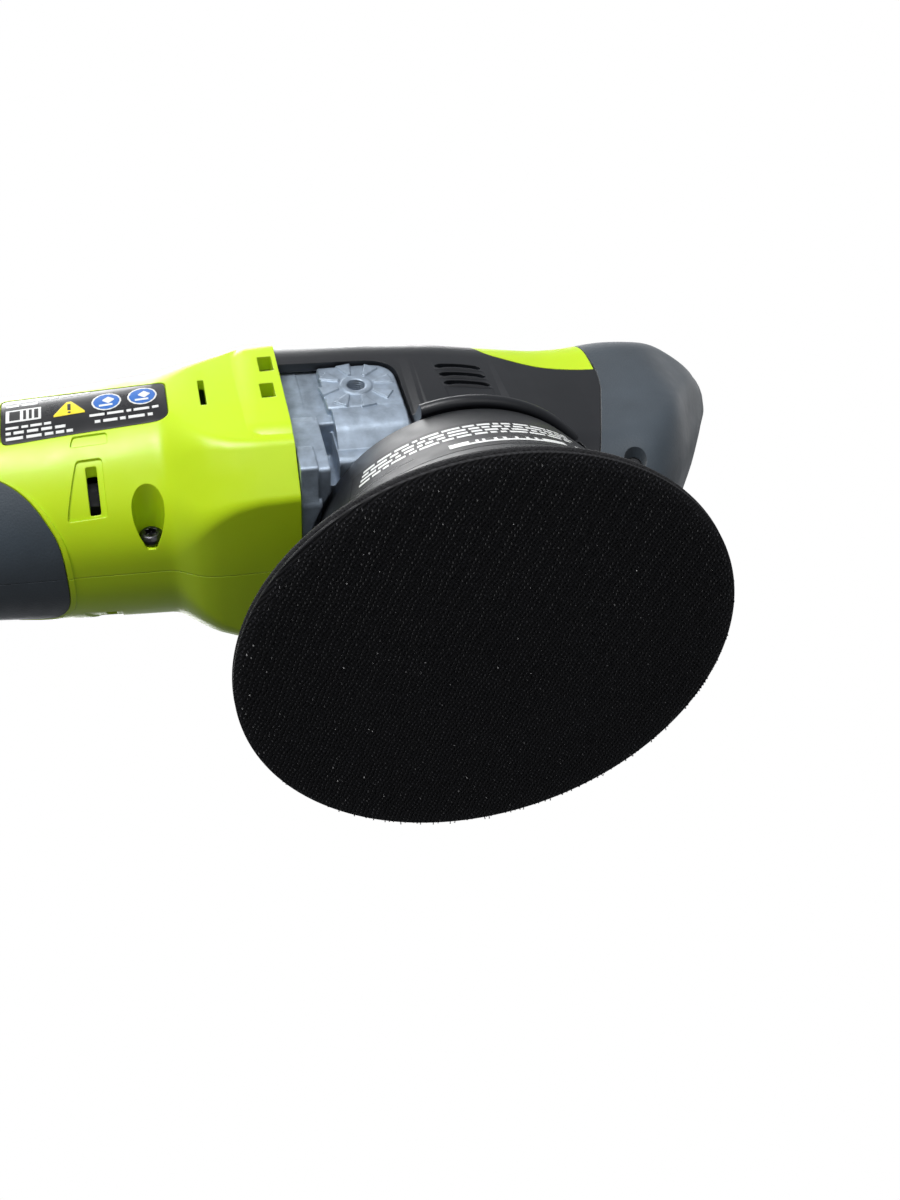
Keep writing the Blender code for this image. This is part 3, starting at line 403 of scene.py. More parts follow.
def turned(name, profile, axis="Z", centre=(0, 0, 0), steps=96):
    """Profile of (radius, place along the axis) points turned into a solid.

    An open profile starts and ends on the axis; a closed one never touches it."""
    place = AXIS_PLACES[axis]
    centre = Vector(centre)
    bm = bmesh.new()
    columns = []
    for radius, along in profile:
        if radius < ON_AXIS:
            columns.append([bm.verts.new(centre + Vector(place(0, along, 0)))] * steps)
        else:
            columns.append([bm.verts.new(centre + Vector(place(radius, along, 2 * pi * i / steps)))
                            for i in range(steps)])
    pairs = list(zip(columns, columns[1:]))
    if all(radius > ON_AXIS for radius, _ in profile):
        pairs.append((columns[-1], columns[0]))
    for first, second in pairs:
        for i in range(steps):
            j = (i + 1) % steps
            corners = []
            for vert in (first[i], first[j], second[j], second[i]):
                if vert not in corners:
                    corners.append(vert)
            if len(corners) > 2:
                bm.faces.new(corners)
    return new_object(name, bm)


def rod(name, axis, centre, radius, start, end, steps=40, taper=None):
    end_radius = radius if taper is None else taper
    return turned(name, [(0, start), (radius, start), (end_radius, end), (0, end)], axis, centre, steps)


def rounded(corners, radius, count=6):
    """Profile with its corners turned into arcs; open at both ends."""
    points = [corners[0]]
    for before, corner, after in zip(corners, corners[1:], corners[2:]):
        corner = Vector(corner)
        back = Vector(before) - corner
        ahead = Vector(after) - corner
        reach = min(radius, back.length * 0.45, ahead.length * 0.45)
        first, last = corner + back.normalized() * reach, corner + ahead.normalized() * reach
        for i in range(count + 1):
            share = i / count
            points.append(tuple(first.lerp(corner, share).lerp(corner.lerp(last, share), share)))
    points.append(corners[-1])
    return points


def rounded_loop(corners, radius, count=6):
    """Closed outline with its corners turned into arcs."""
    wrapped = [corners[-1], *corners, corners[0]]
    return rounded(wrapped, radius, count)[1:-1]


def prism(name, outline, axis, start, end):
    """Outline swept along an axis: XZ outlines along Y, XY along Z, YZ along X."""
    def at(point, depth):
        if axis == "Y":
            return (point[0], depth, point[1])
        if axis == "Z":
            return (point[0], point[1], depth)
        return (depth, point[0], point[1])
    return loft(name, [[at(p, start) for p in outline], [at(p, end) for p in outline]])


def spline(points, count):
    """Smooth open curve through points, count steps between neighbours."""
    wrapped = [points[0], *points, points[-1]]
    curve = []
    for p0, p1, p2, p3 in zip(wrapped, wrapped[1:], wrapped[2:], wrapped[3:]):
        for i in range(count):
            t = i / count
            curve.append(tuple(
                0.5 * (2 * b + (c - a) * t + (2 * a - 5 * b + 4 * c - d) * t * t
                       + (3 * b - a - 3 * c + d) * t ** 3)
                for a, b, c, d in zip(p0, p1, p2, p3)))
    curve.append(tuple(points[-1]))
    return curve


def settle(obj):
    """Applies an object's modifiers and cleans its mesh."""
    bpy.context.view_layer.update()
    graph = bpy.context.evaluated_depsgraph_get()
    mesh = bpy.data.meshes.new_from_object(obj.evaluated_get(graph))
    obj.modifiers.clear()
    obj.data = mesh
    return obj


def boolean(obj, others, operation):
    """Boolean with several solids, which are used up: at once, or in turn to keep what is shared."""
    group = bpy.data.collections.new("operands")
    for other in others:
        group.objects.link(other)
    for operand in others if operation == "INTERSECT" else [group]:
        modifier = obj.modifiers.new("boolean", "BOOLEAN")
        modifier.operation, modifier.solver = operation, "EXACT"
        if operand is group:
            modifier.operand_type, modifier.collection = "COLLECTION", group
        else:
            modifier.object = operand
    settle(obj)
    for other in others:
        bpy.data.objects.remove(other)
    bpy.data.collections.remove(group)
    if not obj.data.polygons:
        raise RuntimeError(f"{obj.name}: nothing left after {operation}")
    return obj


def cut(obj, *others):
    return boolean(obj, others, "DIFFERENCE")


def join(obj, *others):
    return boolean(obj, others, "UNION")


def keep(obj, *others):
    return boolean(obj, others, "INTERSECT")


def finish(obj, material, node=None, rides=None, sharp=32.0):
    """Gives a piece its material and smooth shading, and its place in the frame."""
    mesh = obj.data
    mesh.materials.clear()
    mesh.materials.append(MATERIALS[material].material)
    mesh.polygons.foreach_set("material_index", [0] * len(mesh.polygons))
    mesh.shade_smooth()
    mesh.set_sharp_from_angle(angle=radians(sharp))
    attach(obj, BODY_OF[node] if node else rides)
    if node:
        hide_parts(node)
    return obj


# ---------------------------------------------------------------- lofted forms

CORNER_STEPS = 6


def between(stations, x):
    for first, second in zip(stations, stations[1:]):
        if first.x <= x <= second.x:
            share = (x - first.x) / (second.x - first.x)
            return Station(*(a + (b - a) * share for a, b in zip(first, second)))
    nearest = stations[0] if x < stations[0].x else stations[-1]
    return nearest._replace(x=x)


def soft(stations, x, reach):
    """Station at x, averaged over its surroundings so that kinks turn into curves."""
    reach = max(min(reach, x - stations[0].x, stations[-1].x - x), 0.0)
    weights = (1, 2, 3, 2, 1)
    samples = [between(stations, x + reach * (i - 2) / 2) for i in range(5)]
    values = [sum(w * s[k] for w, s in zip(weights, samples)) / 9 for k in range(1, 8)]
    return Station(x, *values)


def section(station, inset):
    """Octagon with rounded corners; its flats are at the station's distances less inset."""
    flats = (station.side, station.upper, station.top, station.upper,
             station.side, station.lower, station.bottom, station.lower)
    radius = max(station.round - inset, 0.5)
    inner = [distance - inset - radius for distance in flats]
    turn = pi / 4
    ring = []
    for i, distance in enumerate(inner):
        angle = i * turn
        along = (inner[(i + 1) % 8] - distance * cos(turn)) / sin(turn)
        corner_y = distance * cos(angle) - along * sin(angle)
        corner_z = distance * sin(angle) + along * cos(angle)
        for step in range(CORNER_STEPS + 1):
            direction = angle + turn * step / CORNER_STEPS
            ring.append((station.x, corner_y + radius * cos(direction),
                         station.z + corner_z + radius * sin(direction)))
    return ring


def form(name, stations, inset=0.0, start=None, end=None, wall=None, spacing=1.2, reach=BODY_REACH):
    start = stations[0].x if start is None else start
    end = stations[-1].x if end is None else end
    count = max(int((end - start) / spacing), 1)
    rings = []
    for i in range(count + 1):
        x = start + (end - start) * i / count
        rings.append(section(soft(stations, x, reach), wall(x) if wall else inset))
    return loft(name, rings)


def side_y(stations, x, z, reach=BODY_REACH):
    """How far out a form's side is at (x, z)."""
    ring = section(soft(stations, x, reach), 0.0)
    best = 0.0
    for (_, y0, z0), (_, y1, z1) in zip(ring, ring[1:] + ring[:1]):
        if (z0 - z) * (z1 - z) <= 0 and z0 != z1:
            best = max(best, y0 + (y1 - y0) * (z - z0) / (z1 - z0))
    return best


def skin(name, stations, region, low, high, start, end, **form_args):
    """Layer of a form between two insets, within a region."""
    outer = keep(form(name, stations, low, start, end, **form_args), region)
    return cut(outer, form(name + "_core", stations, high, start - 1, end + 1, **form_args))


# ---------------------------------------------------------------- motor body and handle

def grip_outline(margin):
    """Side view of the rubber grip: a curved front edge that climbs to the top of the handle."""
    front = spline([(-101.5, 36), (-102.5, 46), (-106.0, 51), (-111.5, 56.4), (-119.0, 60.5), (-130.0, 63.6),
                    (-140.5, 69), (-147.5, 80), (-151.0, 96), (-152.0, 116)], 5)
    rear = spline([(-240.0, 116), (-237.0, 96), (-236.2, 76), (-237.0, 58), (-240.0, 36)], 5)
    return [(x + margin, z - margin * 0.35) for x, z in front] + [(x - margin, z) for x, z in rear]


def grip_region(name, margin):
    return prism(name, grip_outline(margin), "Y", *ACROSS)


def label_outline(margin):
    corners = ((-73.5, 83.0), (-73.5, 68.0), (-114.5, 67.2), (-114.5, 86.0))
    grown = [(x + (margin if x > -94 else -margin), z + (margin if z > 75 else -margin)) for x, z in corners]
    return rounded_loop(grown, 2.4)


def label_region(name, margin):
    return prism(name, label_outline(margin), "Y", -45, -20)


def shoulder_block(name, side):
    """Raised block beside the front edge, with a ramp behind it and a bevelled lower edge."""
    def ring(x, out, grow):
        corners = [(26.0, 101.5 + grow), (31.2, 99.5 + grow), (out, 93.5 + grow), (out, 57.0 - grow),
                   (31.6, 51.6 - grow), (26.0, 50.5 - grow)]
        smooth = rounded_loop(corners, 2.2, 5)
        return [(x, side * y, z) for y, z in smooth]
    stages = ((-58.6, 32.1, -4.0), (-56.4, 32.8, -2.4), (-53.6, 34.0, -0.8), (-51.6, 34.5, 0.0),
              (-44.0, 34.7, 0.3))
    return loft(name, [ring(*stage) for stage in stages])


def screw_well(name, x, z, side=-1, radius=4.0):
    """Bore for a recessed screw, opening out at the skin."""
    profile = [(0, side * 7.2), (radius - 0.1, side * 7.2), (radius, side * 20), (radius + 0.8, side * 34),
               (0, side * 34)]
    return turned(name, profile, "Y", (x, 0, z), 40)


def well_wall(name, x, z, side=-1):
    post = rod(name, "Y", (x, 0, z), 5.6, side * 6.0, side * 32, 32)
    return keep(post, form(name + "_limit", BODY, 0.8, x - 9, x + 9))


def side_openings(tag):
    """Slots and windows, alike in both sides."""
    openings = (("slot", (-95.0, 14, 51.2), (-92.3, 40, 59.4), 0.35),
                ("slit", (-65.2, 14, 70.2), (-63.6, 40, 81.4), 0.3),
                ("low_window", (-49.8, 14, 69.4), (-46.2, 40, 75.8), 0.3),
                ("high_window", (-48.9, 14, 81.4), (-45.2, 40, 88.2), 0.3))
    return [flank_box(f"{tag}_{name}_{side}", side, low, high, bevel, 2)
            for side in SIDES for name, low, high, bevel in openings]


def shallow_marks(tag):
    """Shallow pockets of even depth round the slot and above it."""
    made = []
    pockets = (((-100.6, 50.4), (-90.8, 50.4), (-90.8, 60.6), (-97.0, 60.6)),
               ((-98.2, 63.8), (-89.0, 63.8), (-89.0, 66.7), (-97.4, 66.7)))
    for side in SIDES:
        low, high = sorted((side * 10, side * 45))
        for index, outline in enumerate(pockets):
            region = prism(f"{tag}_region_{side}_{index}", rounded_loop(outline, 0.8, 4), "Y", low, high)
            made.append(skin(f"{tag}_{side}_{index}", BODY, region, -1.0, 0.55, -104, -86))
    return made


def control_openings(tag):
    """Openings in shell and grip for the trigger, the speed dial and the lock button."""
    return [box(f"{tag}_trigger_slot", (-208.5, -10.2, 40), (-139.5, 10.2, 61), 0.6, 2),
            rod(f"{tag}_dial_slot", "Y", (DIAL_X, 0, DIAL_Z), DIAL_RADIUS + 0.8, -5.1, 5.1, 64),
            rod(f"{tag}_lock_hole", "Y", (LOCK_X, 0, LOCK_Z), 5.4, -40, -15, 48)]


def shell_of_body():
    shell = form("shell", BODY)
    blocks = [shoulder_block(f"shoulder_{side}", side) for side in SIDES]
    rim = skin("grip_rim", BODY, grip_region("rim_region", 1.9), -0.35, 2.0, -250, -95)
    cut(rim, grip_region("rim_inner", FIT))
    join(shell, *blocks, rim)
    inner = form("shell_inner", BODY, WALL, BODY_REAR + 4, BODY_FRONT + 2)
    cut(shell, inner)
    walls = [well_wall(f"well_wall_{i}_{side}", x, z, side)
             for i, (x, z) in enumerate(HOUSING_SCREWS) for side in SIDES]
    tubes = case_rods("case_post", 4.4, -60, BODY_FRONT, 24)
    for index, tube in enumerate(tubes):
        keep(tube, form(f"case_post_limit_{index}", BODY, 0.8, -62))
    join(shell, *walls, *tubes)
    recess = skin("grip_recess", BODY, grip_region("recess_region", FIT), -2.0, RUBBER + FIT, *GRIP_SPAN)
    label_recess = label_region("label_recess_region", 0.25)
    cut(shell, recess, skin("label_recess", BODY, label_recess, -1.0, 0.75, *LABEL_SPAN))
    socket = box("socket", (-272, -14.6, 59.4), (-255, 14.6, 93.6), 1.0, 2)
    wells = [screw_well(f"well_{i}", x, z) for i, (x, z) in enumerate(HOUSING_SCREWS)]
    shanks = [rod(f"shank_{i}", "Y", (x, 0, z), 1.9, -12, 10.5, 16)
              for i, (x, z) in enumerate(HOUSING_SCREWS)]
    cut(shell, *control_openings("shell"), socket, *wells)
    cut(shell, *shanks, *case_rods("case_thread", 2.4, -58, -40))
    return cut(shell, *side_openings("opening"), *shallow_marks("mark"))


def case_rods(name, radius, start, end, steps=16):
    """A rod on the axis of each screw that holds the gear case."""
    return [rod(f"{name}_{i}", "X", (0, y, z), radius, start, end, steps)
            for i, (y, z) in enumerate(CASE_SCREWS)]


def halves(whole, piece, material, nodes):
    """Splits a piece at the seam into its left and its right half."""
    other = linked(f"right_{piece}", whole.data.copy())
    whole.name = f"left_{piece}"
    for part, side, node in zip((whole, other), SIDES, nodes):
        space = flank_box(f"{piece}_space_{side}", side, (-330, SEAM, 0), (60, 70, 150))
        finish(keep(part, space), material, node)


def rubber_grips():
    grip = skin("grip", BODY, grip_region("grip_outline_region", 0.0), -0.1, RUBBER, *GRIP_SPAN)
    wells = [screw_well(f"grip_well_{i}", x, z) for i, (x, z) in enumerate(HOUSING_SCREWS)]
    return cut(grip, *control_openings("grip"), *wells, *grip_grooves())


GROOVES, GROOVE_START, GROOVE_PITCH = 7, -166.0, 5.2


def grip_grooves():
    """Shallow finger grooves round the flanks of the handle, both sides."""
    made = []
    for side in SIDES:
        for index in range(GROOVES):
            x = GROOVE_START - index * GROOVE_PITCH
            points = spline([(x + 5, 66.0), (x + 1.6, 74.0), (x, 84.0), (x + 1.2, 93.0)], 6)
            path = [Vector((px, side * (side_y(BODY, px, pz) + 0.35), pz)) for px, pz in points]
            made.append(tube(f"groove_{side}_{index}", path, 0.85, 8))
    return made


def tube(name, path, radius, sides=12, taper=True):
    """Round bar along a path, its ends drawn in."""
    rings = []
    last = len(path) - 1
    for i, point in enumerate(path):
        ahead = (path[min(i + 1, last)] - path[max(i - 1, 0)]).normalized()
        across = ahead.cross(Vector((0, 0, 1)))
        if across.length < 0.1:
            across = ahead.cross(Vector((0, 1, 0)))
        across.normalize()
        up = across.cross(ahead)
        share = min(i, last - i) / 3 if taper else 1
        size = radius * sqrt(max(min(share, 1.0), 0.06))
        rings.append([point + (across * cos(2 * pi * k / sides) + up * sin(2 * pi * k / sides)) * size
                      for k in range(sides)])
    return loft(name, rings)


def torx_screw(name, head, shank, length, axis, centre, direction, node):
    """Pan head screw with a six-lobed socket. direction is the way its head faces along the axis."""
    d = direction
    profile = rounded([(0, -length * d), (shank, -length * d), (shank, 0), (head, 0), (head, 1.3 * d),
                       (head * 0.72, 2.3 * d), (0, 2.5 * d)], 0.35, 4)
    screw = turned(name, profile, axis, centre, 40)
    angles = [2 * pi * i / 48 for i in range(48)]
    lobes = [(head * (0.44 + 0.085 * cos(6 * angle)), angle) for angle in angles]
    place = AXIS_PLACES[axis]
    rings = [[Vector(centre) + Vector(place(radius, s * d, angle)) for radius, angle in lobes]
             for s in (0.9, 4.0)]
    cut(screw, loft(name + "_socket", rings))
    return finish(screw, "black_steel", node)


def motor_body():
    halves(shell_of_body(), "housing", "lime", ("housing_left", "housing_right"))
    halves(rubber_grips(), "grip", "slate_rubber", ("grip_left", "grip_right"))
    for index, (x, z) in enumerate(HOUSING_SCREWS, start=1):
        torx_screw(f"body_screw_{index}", 3.2, 1.5, 17.2, "Y", (x, -7.5, z), -1, f"housing_screw_{index}")
    for index, (y, z) in enumerate(CASE_SCREWS, start=1):
        torx_screw(f"head_screw_{index}", 3.5, 1.9, 18.4, "X", (-38.2, y, z), 1, f"case_screw_{index}")


# ---------------------------------------------------------------- labels

def thrown_on(piece, direction_at):
    """Function that throws a flat place (u, v) on to a piece, and says which way is out there."""
    mesh = piece.data
    tree = BVHTree.FromPolygons([v.co for v in mesh.vertices], [p.vertices for p in mesh.polygons])

    def place(u, v):
        start, way = direction_at(u, v)
        return tree.ray_cast(start * MM, way)[0] / MM, -way
    return place


def add_patch(bm, place, edges, raise_by, step):
    """Thin printed patch. edges(share) gives u, low v and high v along it."""
    u0, u1 = edges(0.0)[0], edges(1.0)[0]
    columns, rows = max(int(abs(u1 - u0) / step), 2), 4
    grid = []
    for i in range(columns + 1):
        u, v0, v1 = edges(i / columns)
        column = []
        for j in range(rows + 1):
            spot, out = place(u, v0 + (v1 - v0) * j / rows)
            column.append((bm.verts.new(spot + out * raise_by), bm.verts.new(spot - out * 0.12)))
        grid.append(column)
    for first, second in zip(grid, grid[1:]):
        for j in range(rows):
            bm.faces.new((first[j][0], second[j][0], second[j + 1][0], first[j + 1][0]))
            bm.faces.new((first[j][1], first[j + 1][1], second[j + 1][1], second[j][1]))
        for j in (0, rows):
            bm.faces.new((first[j][0], first[j][1], second[j][1], second[j][0]))
    for column in (grid[0], grid[-1]):
        for low, high in zip(column, column[1:]):
            bm.faces.new((low[0], high[0], high[1], low[1]))


def bar(u0, u1, v0, v1):
    return lambda share: (u0 + (u1 - u0) * share, v0, v1)


def disc(u, v, radius, stretch=1.0):
    def edges(share):
        turn = pi * (0.04 + 0.92 * share)
        reach = radius * sin(turn)
        return u - radius * stretch * cos(turn), v - reach, v + reach
    return edges


def triangle(left, right, tip):
    """Triangle with blunt corners on a nearly level base."""
    def edges(share):
        share = 0.05 + 0.90 * share
        u = left[0] + (right[0] - left[0]) * share
        base = left[1] + (right[1] - left[1]) * share
        foot = left if u < tip[0] else right
        top = foot[1] + (tip[1] - foot[1]) * (u - foot[0]) / (tip[0] - foot[0])
        return u, base, min(top, tip[1] - 0.45)
    return edges


def printed(name, material, place, patches, raise_by, body, step=1.0):
    bm = bmesh.new()
    for edges in patches:
        add_patch(bm, place, edges, raise_by, step)
    return finish(new_object(name, bm), material, rides=body)


def line_of_print(dice, start, end, v, height, longest, gap):
    """Bars of uneven length in place of a line of words."""
    made = []
    u = start
    while u < end - gap:
        length = min(dice.uniform(longest * 0.28, longest), end - u)
        made.append(bar(u, u + length, v - height / 2, v + height / 2))
        u += length + gap * dice.uniform(0.9, 1.3)
    return made


LABEL_ROWS = ((83.8, -113.3, -91.5), (81.9, -113.3, -104.5), (72.4, -113.3, -101.5), (70.6, -113.3, -98.0),
              (68.8, -113.3, -97.0), (72.9, -92.8, -75.6), (70.5, -91.6, -77.2))


def rating_label():
    """Black film with generic marks: bars for its lines of print, a plain triangle and two plain discs."""
    film = skin("label_plate", BODY, label_region("film_region", 0.0), 0.12, 0.6, *LABEL_SPAN)
    finish(film, "label", "rating_label")
    body = BODY_OF["rating_label"]
    place = thrown_on(film, lambda u, v: (Vector((u, -50.0, v)), Vector((0, 1, 0))))
    dice = random.Random(11)
    white = [bar(-113.3, -104.6, 74.6, 79.9)]
    for v, start, end in LABEL_ROWS:
        white += line_of_print(dice, start, end, v, 0.95, 4.2, 0.6)
    discs = ((-88.4, 78.0), (-79.4, 78.3))
    white += [disc(u, v, 3.75) for u, v in discs]
    printed("label_white", "ink_white", place, white, 0.05, body)
    blue = [disc(u, v, 3.3) for u, v in discs]
    printed("label_blue", "ink_blue", place, blue, 0.09, body)
    badges = [disc(u + 0.5, v + 0.5, 1.5) for u, v in discs]
    badges += [bar(u - 1.9, u + 1.5, v - 2.0, v - 1.2) for u, v in discs]
    printed("label_badges", "ink_white", place, badges, 0.13, body)
    sign = triangle((-102.0, 74.3), (-93.4, 74.7), (-97.7, 81.2))
    printed("label_yellow", "ink_yellow", place, [sign], 0.09, body)
    dark = [bar(-98.1, -97.3, 76.4, 79.2), disc(-97.7, 75.5, 0.45)]
    strokes = ((-112.4, 2.6), (-109.0, 0.7), (-107.6, 0.7), (-106.3, 1.0))
    dark += [bar(u, u + width, 75.3, 79.2) for u, width in strokes]
    printed("label_dark", "ink_black", place, dark, 0.13, body)


# ---------------------------------------------------------------- head

NOSE_EDGE = ((26.9, 20), (30.3, 30), (43.1, 70.4), (45.3, 78.5), (46.1, 86.0), (45.8, 92.0), (44.5, 125))


def nose_region(name, shift):
    outline = [(x + shift, z) for x, z in spline(NOSE_EDGE, 5)]
    return prism(name, outline + [(105, 125), (105, 20)], "Y", *ACROSS)


def accent_outline(margin):
    lower = spline([(12.6, 116), (12.8, 104), (13.6, 98.0), (15.6, 94.0), (20.0, 91.4), (27, 89.0),
                    (36, 87.1)], 6)
    front = [(45.5, 85.0 - margin), (45.5, 92.0), (44.0, 120)]
    upper = [(x + margin, z) for x, z in front] + [(12.6, 120)]
    return [(x - margin * 0.3, z - margin) for x, z in lower] + upper


def accent_region(name, margin):
    return prism(name, accent_outline(margin), "Y", *ACROSS)


def shroud_clearance(name):
    """Space that the head leaves for the shroud."""
    return turned(name, [(0, 8.0), (52.6, 8.0), (51.2, 16.0), (39.6, 53.3), (0, 53.3)], "Z", steps=96)


def case_window(name):
    """Opening on both sides of the cover, round the gear case."""
    outline = [(-60, 20), (-11.8, 20)] + rounded([(-11.8, 60), (-11.8, 89.5), (-30, 89.5)], 8.0, 12)[1:-1]
    outline.append((-60, 89.5))
    return prism(name, outline, "Y", *ACROSS)


VENTS = 3
VENT_START, VENT_LENGTH, VENT_HALF = -0.8, 13.0, 1.05
VENT_Z, VENT_PITCH = 85.6, 4.1


def vent_line(index, share):
    """Middle of a vent: a slightly bowed line that falls a little towards the nose."""
    bow = 0.5 * sin(pi * min(max(share, 0), 1))
    return VENT_START + VENT_LENGTH * share + 0.4 * index, VENT_Z - VENT_PITCH * index - 0.3 * share + bow


def vent_slot(name, side, index):
    upper, lower = [], []
    for i in range(13):
        share = i / 12
        x, z = vent_line(index, share)
        half = VENT_HALF * min(1.0, 0.35 + 7 * min(share, 1 - share))
        upper.append((x, z + half))
        lower.append((x, z - half))
    low, high = sorted((side * 18, side * 40))
    return prism(name, upper + lower[::-1], "Y", low, high)


def vent_lip(name, side, index):
    """Raised edge under a slot."""
    path = []
    for i in range(13):
        x, z = vent_line(index, -0.04 + 1.08 * i / 12)
        z -= 1.55
        path.append(Vector((x, side * (side_y(HEAD, x, z, HEAD_REACH) - 0.15), z)))
    return tube(name, path, 0.6, 10)


SKIRT_RADIUS, SKIRT_Z, SKIRT_BEAD = 38.2, 55.2, 1.75


def cover_skirt():
    """Flared lip of the cover round the shroud, on both sides, with a rolled edge."""
    angles = [radians(-160 + 20 * i) for i in range(12)]
    bead = [(SKIRT_RADIUS + SKIRT_BEAD * cos(a), SKIRT_Z + SKIRT_BEAD * sin(a)) for a in angles]
    flare = spline([(38.6, 57.2), (37.0, 58.2), (34.2, 60.4), (32.2, 63.2), (30.6, 67.0), (27.0, 71.0)], 4)
    skirt = turned("cover_skirt", bead + flare + [(27.0, 54.6)], steps=180)
    return keep(skirt, box("skirt_range", (-12.5, -50, 40), (37.2, 50, 74)))


def cover_wall(x):
    share = min(max((x - 24.0) / 10.0, 0.0), 1.0)
    return COVER_WALL + (NOSE_RUBBER + FIT) * share


def head_cover():
    cover = form("cover", HEAD, end=79.0, reach=HEAD_REACH)
    lips = [vent_lip(f"vent_lip_{side}_{i}", side, i) for side in SIDES for i in range(VENTS)]
    join(cover, cover_skirt(), *lips)
    nose_space = nose_region("nose_recess_region", -FIT)
    accent_space = accent_region("accent_recess_region", FIT)
    cut(cover, skin("nose_recess", HEAD, nose_space, -4.0, NOSE_RUBBER + FIT, 20, 80, reach=HEAD_REACH),
        skin("accent_recess", HEAD, accent_space, -4.0, 1.9, 5, 70, reach=HEAD_REACH))
    cavity = form("cover_cavity", HEAD, start=-50, end=72, wall=cover_wall, reach=HEAD_REACH)
    cut(cover, cavity)
    cut(cover, box("cover_floor", (-50, -22, 30), (34, 22, 60)), shroud_clearance("cover_clearance"))
    vents = [vent_slot(f"vent_{side}_{i}", side, i) for side in SIDES for i in range(VENTS)]
    cut(cover, case_window("case_window"))
    cut(cover, *vents, *nose_holes("cover_hole", 2.3, 2.3))
    return finish(cover, "cover", "head_cover")


NOSE_HOLE = (45.5, 0, 46.8)


def nose_holes(name, radius, mouth):
    made = []
    for side in SIDES:
        profile = [(0, side * 12), (radius, side * 12), (radius, side * 19.5), (mouth, side * 34),
                   (0, side * 34)]
        made.append(turned(f"{name}_{side}", profile, "Y", NOSE_HOLE, 32))
    return made


def nose():
    grip = form("nose", HEAD, start=25, reach=HEAD_REACH, spacing=1.2)
    keep(grip, nose_region("nose_region", 0.0))
    cut(grip, form("nose_core", HEAD, NOSE_RUBBER, 10, 79.5, reach=HEAD_REACH))
    cut(grip, shroud_clearance("nose_clearance"), *nose_holes("nose_hole", 3.0, 3.5))
    return finish(grip, "slate_rubber", "nose_grip", sharp=55)


def accent():
    outline = accent_region("accent_outline_region", 0.0)
    trim = skin("accent", HEAD, outline, 0.0, 1.6, 8, 66, reach=HEAD_REACH)
    return finish(trim, "lime", "accent_insert")


def wedge(name, centre, middle, side):
    """Raised sector of a handle boss, a little narrower at its top."""
    rings = []
    for out, shrink in ((-0.6, 0.0), (0.42, 0.05)):
        corners = [(5.0, shrink - 0.13), (5.0, 0.13 - shrink), (10.3 - shrink * 4, 0.24 - shrink),
                   (10.3 - shrink * 4, shrink - 0.24)]
        rings.append([centre + Vector((r * cos(middle + a), side * out, r * sin(middle + a)))
                      for r, a in corners])
    return loft(name, rings)


def boss_disc(side):
    """Round serrated seat for a side handle."""
    centre = Vector((BOSS_X, side * BOSS_Y, BOSS_Z))
    wedges = [wedge(f"wedge_{side}_{i}", centre, 2 * pi * i / 8 + 0.2, side) for i in range(8)]
    profile = rounded([(0, -side), (4.6, -side), (4.3, side * 0.35), (0, side * 0.35)], 0.2, 3)
    return wedges + [turned(f"hub_{side}", profile, "Y", centre, 48)]


THREAD_DEPTH, THREAD_PITCH = 3.4, 0.7
THREAD_INNER, THREAD_OUTER = 2.35, 2.95


def thread_hole(side):
    """Threaded hole: a plain bore with ring-shaped turns."""
    face = side * BOSS_Y
    profile = [(0, face - side * THREAD_DEPTH)]
    depth = THREAD_DEPTH
    while depth > -0.5:
        profile += [(THREAD_INNER, face - side * depth),
                    (THREAD_OUTER, face - side * (depth - THREAD_PITCH / 2))]
        depth -= THREAD_PITCH
    profile += [(3.1, face + side * 2), (0, face + side * 2)]
    return turned(f"thread_{side}", profile, "Y", (BOSS_X, 0, BOSS_Z), 40)


def case_side(side):
    """Side of the casting as seen through the cover's window: face, ledge, underside, flange strip."""
    def slab(name, outline, x0, x1):
        return prism(name, [(side * y, z) for y, z in outline], "X", x0, x1)

    face = side * BOSS_Y
    plate = rounded([(-12.5, 66.0), (-12.5, 88.8), (-33.0, 88.8)], 7.6, 12)
    plate = [(-33.0, 69.4), (-12.5, 69.4)] + plate[1:-1] + [(-33.0, 88.8)]
    upper = rounded_loop([(18, 96), (27.2, 95), (27.4, 66.0), (18, 66.0)], 0.8, 4)
    ledge = rounded_loop([(18, 71), (29.3, 70.6), (29.6, 66.0), (28.6, 61.8), (23.8, 57.0), (19.2, 53.2),
                          (18, 53.2)], 1.3, 5)
    strip = rounded_loop([(16, 69.5), (28.4, 68.6), (29.6, 64.5), (29.6, 44.0), (16, 44.0)], 1.2, 5)
    foot = rounded_loop([(18, 55.0), (30.2, 53.6), (30.6, 51.4), (30.6, 43.5), (18, 43.5)], 1.0, 5)
    seat = prism(f"case_plate_{side}", plate, "Y", *sorted((side * 20, face)))
    return [smoothed(seat, 0.7, 3, 50), slab(f"case_upper_{side}", upper, -43.2, -12.8),
            slab(f"case_ledge_{side}", ledge, -32.0, -12.8),
            slab(f"case_strip_{side}", strip, CASE_LEFT, -36.3),
            slab(f"case_foot_{side}", foot, CASE_LEFT, -39.4)]


def case_slots():
    """Deep dark slots between the flange strip and the boss, where the case screws sit."""
    return [flank_box(f"case_slot_{side}", side, (-36.2, 17.0, 42.0), (-32.4, 34.0, 66.0), 0.8, 3)
            for side in SIDES]


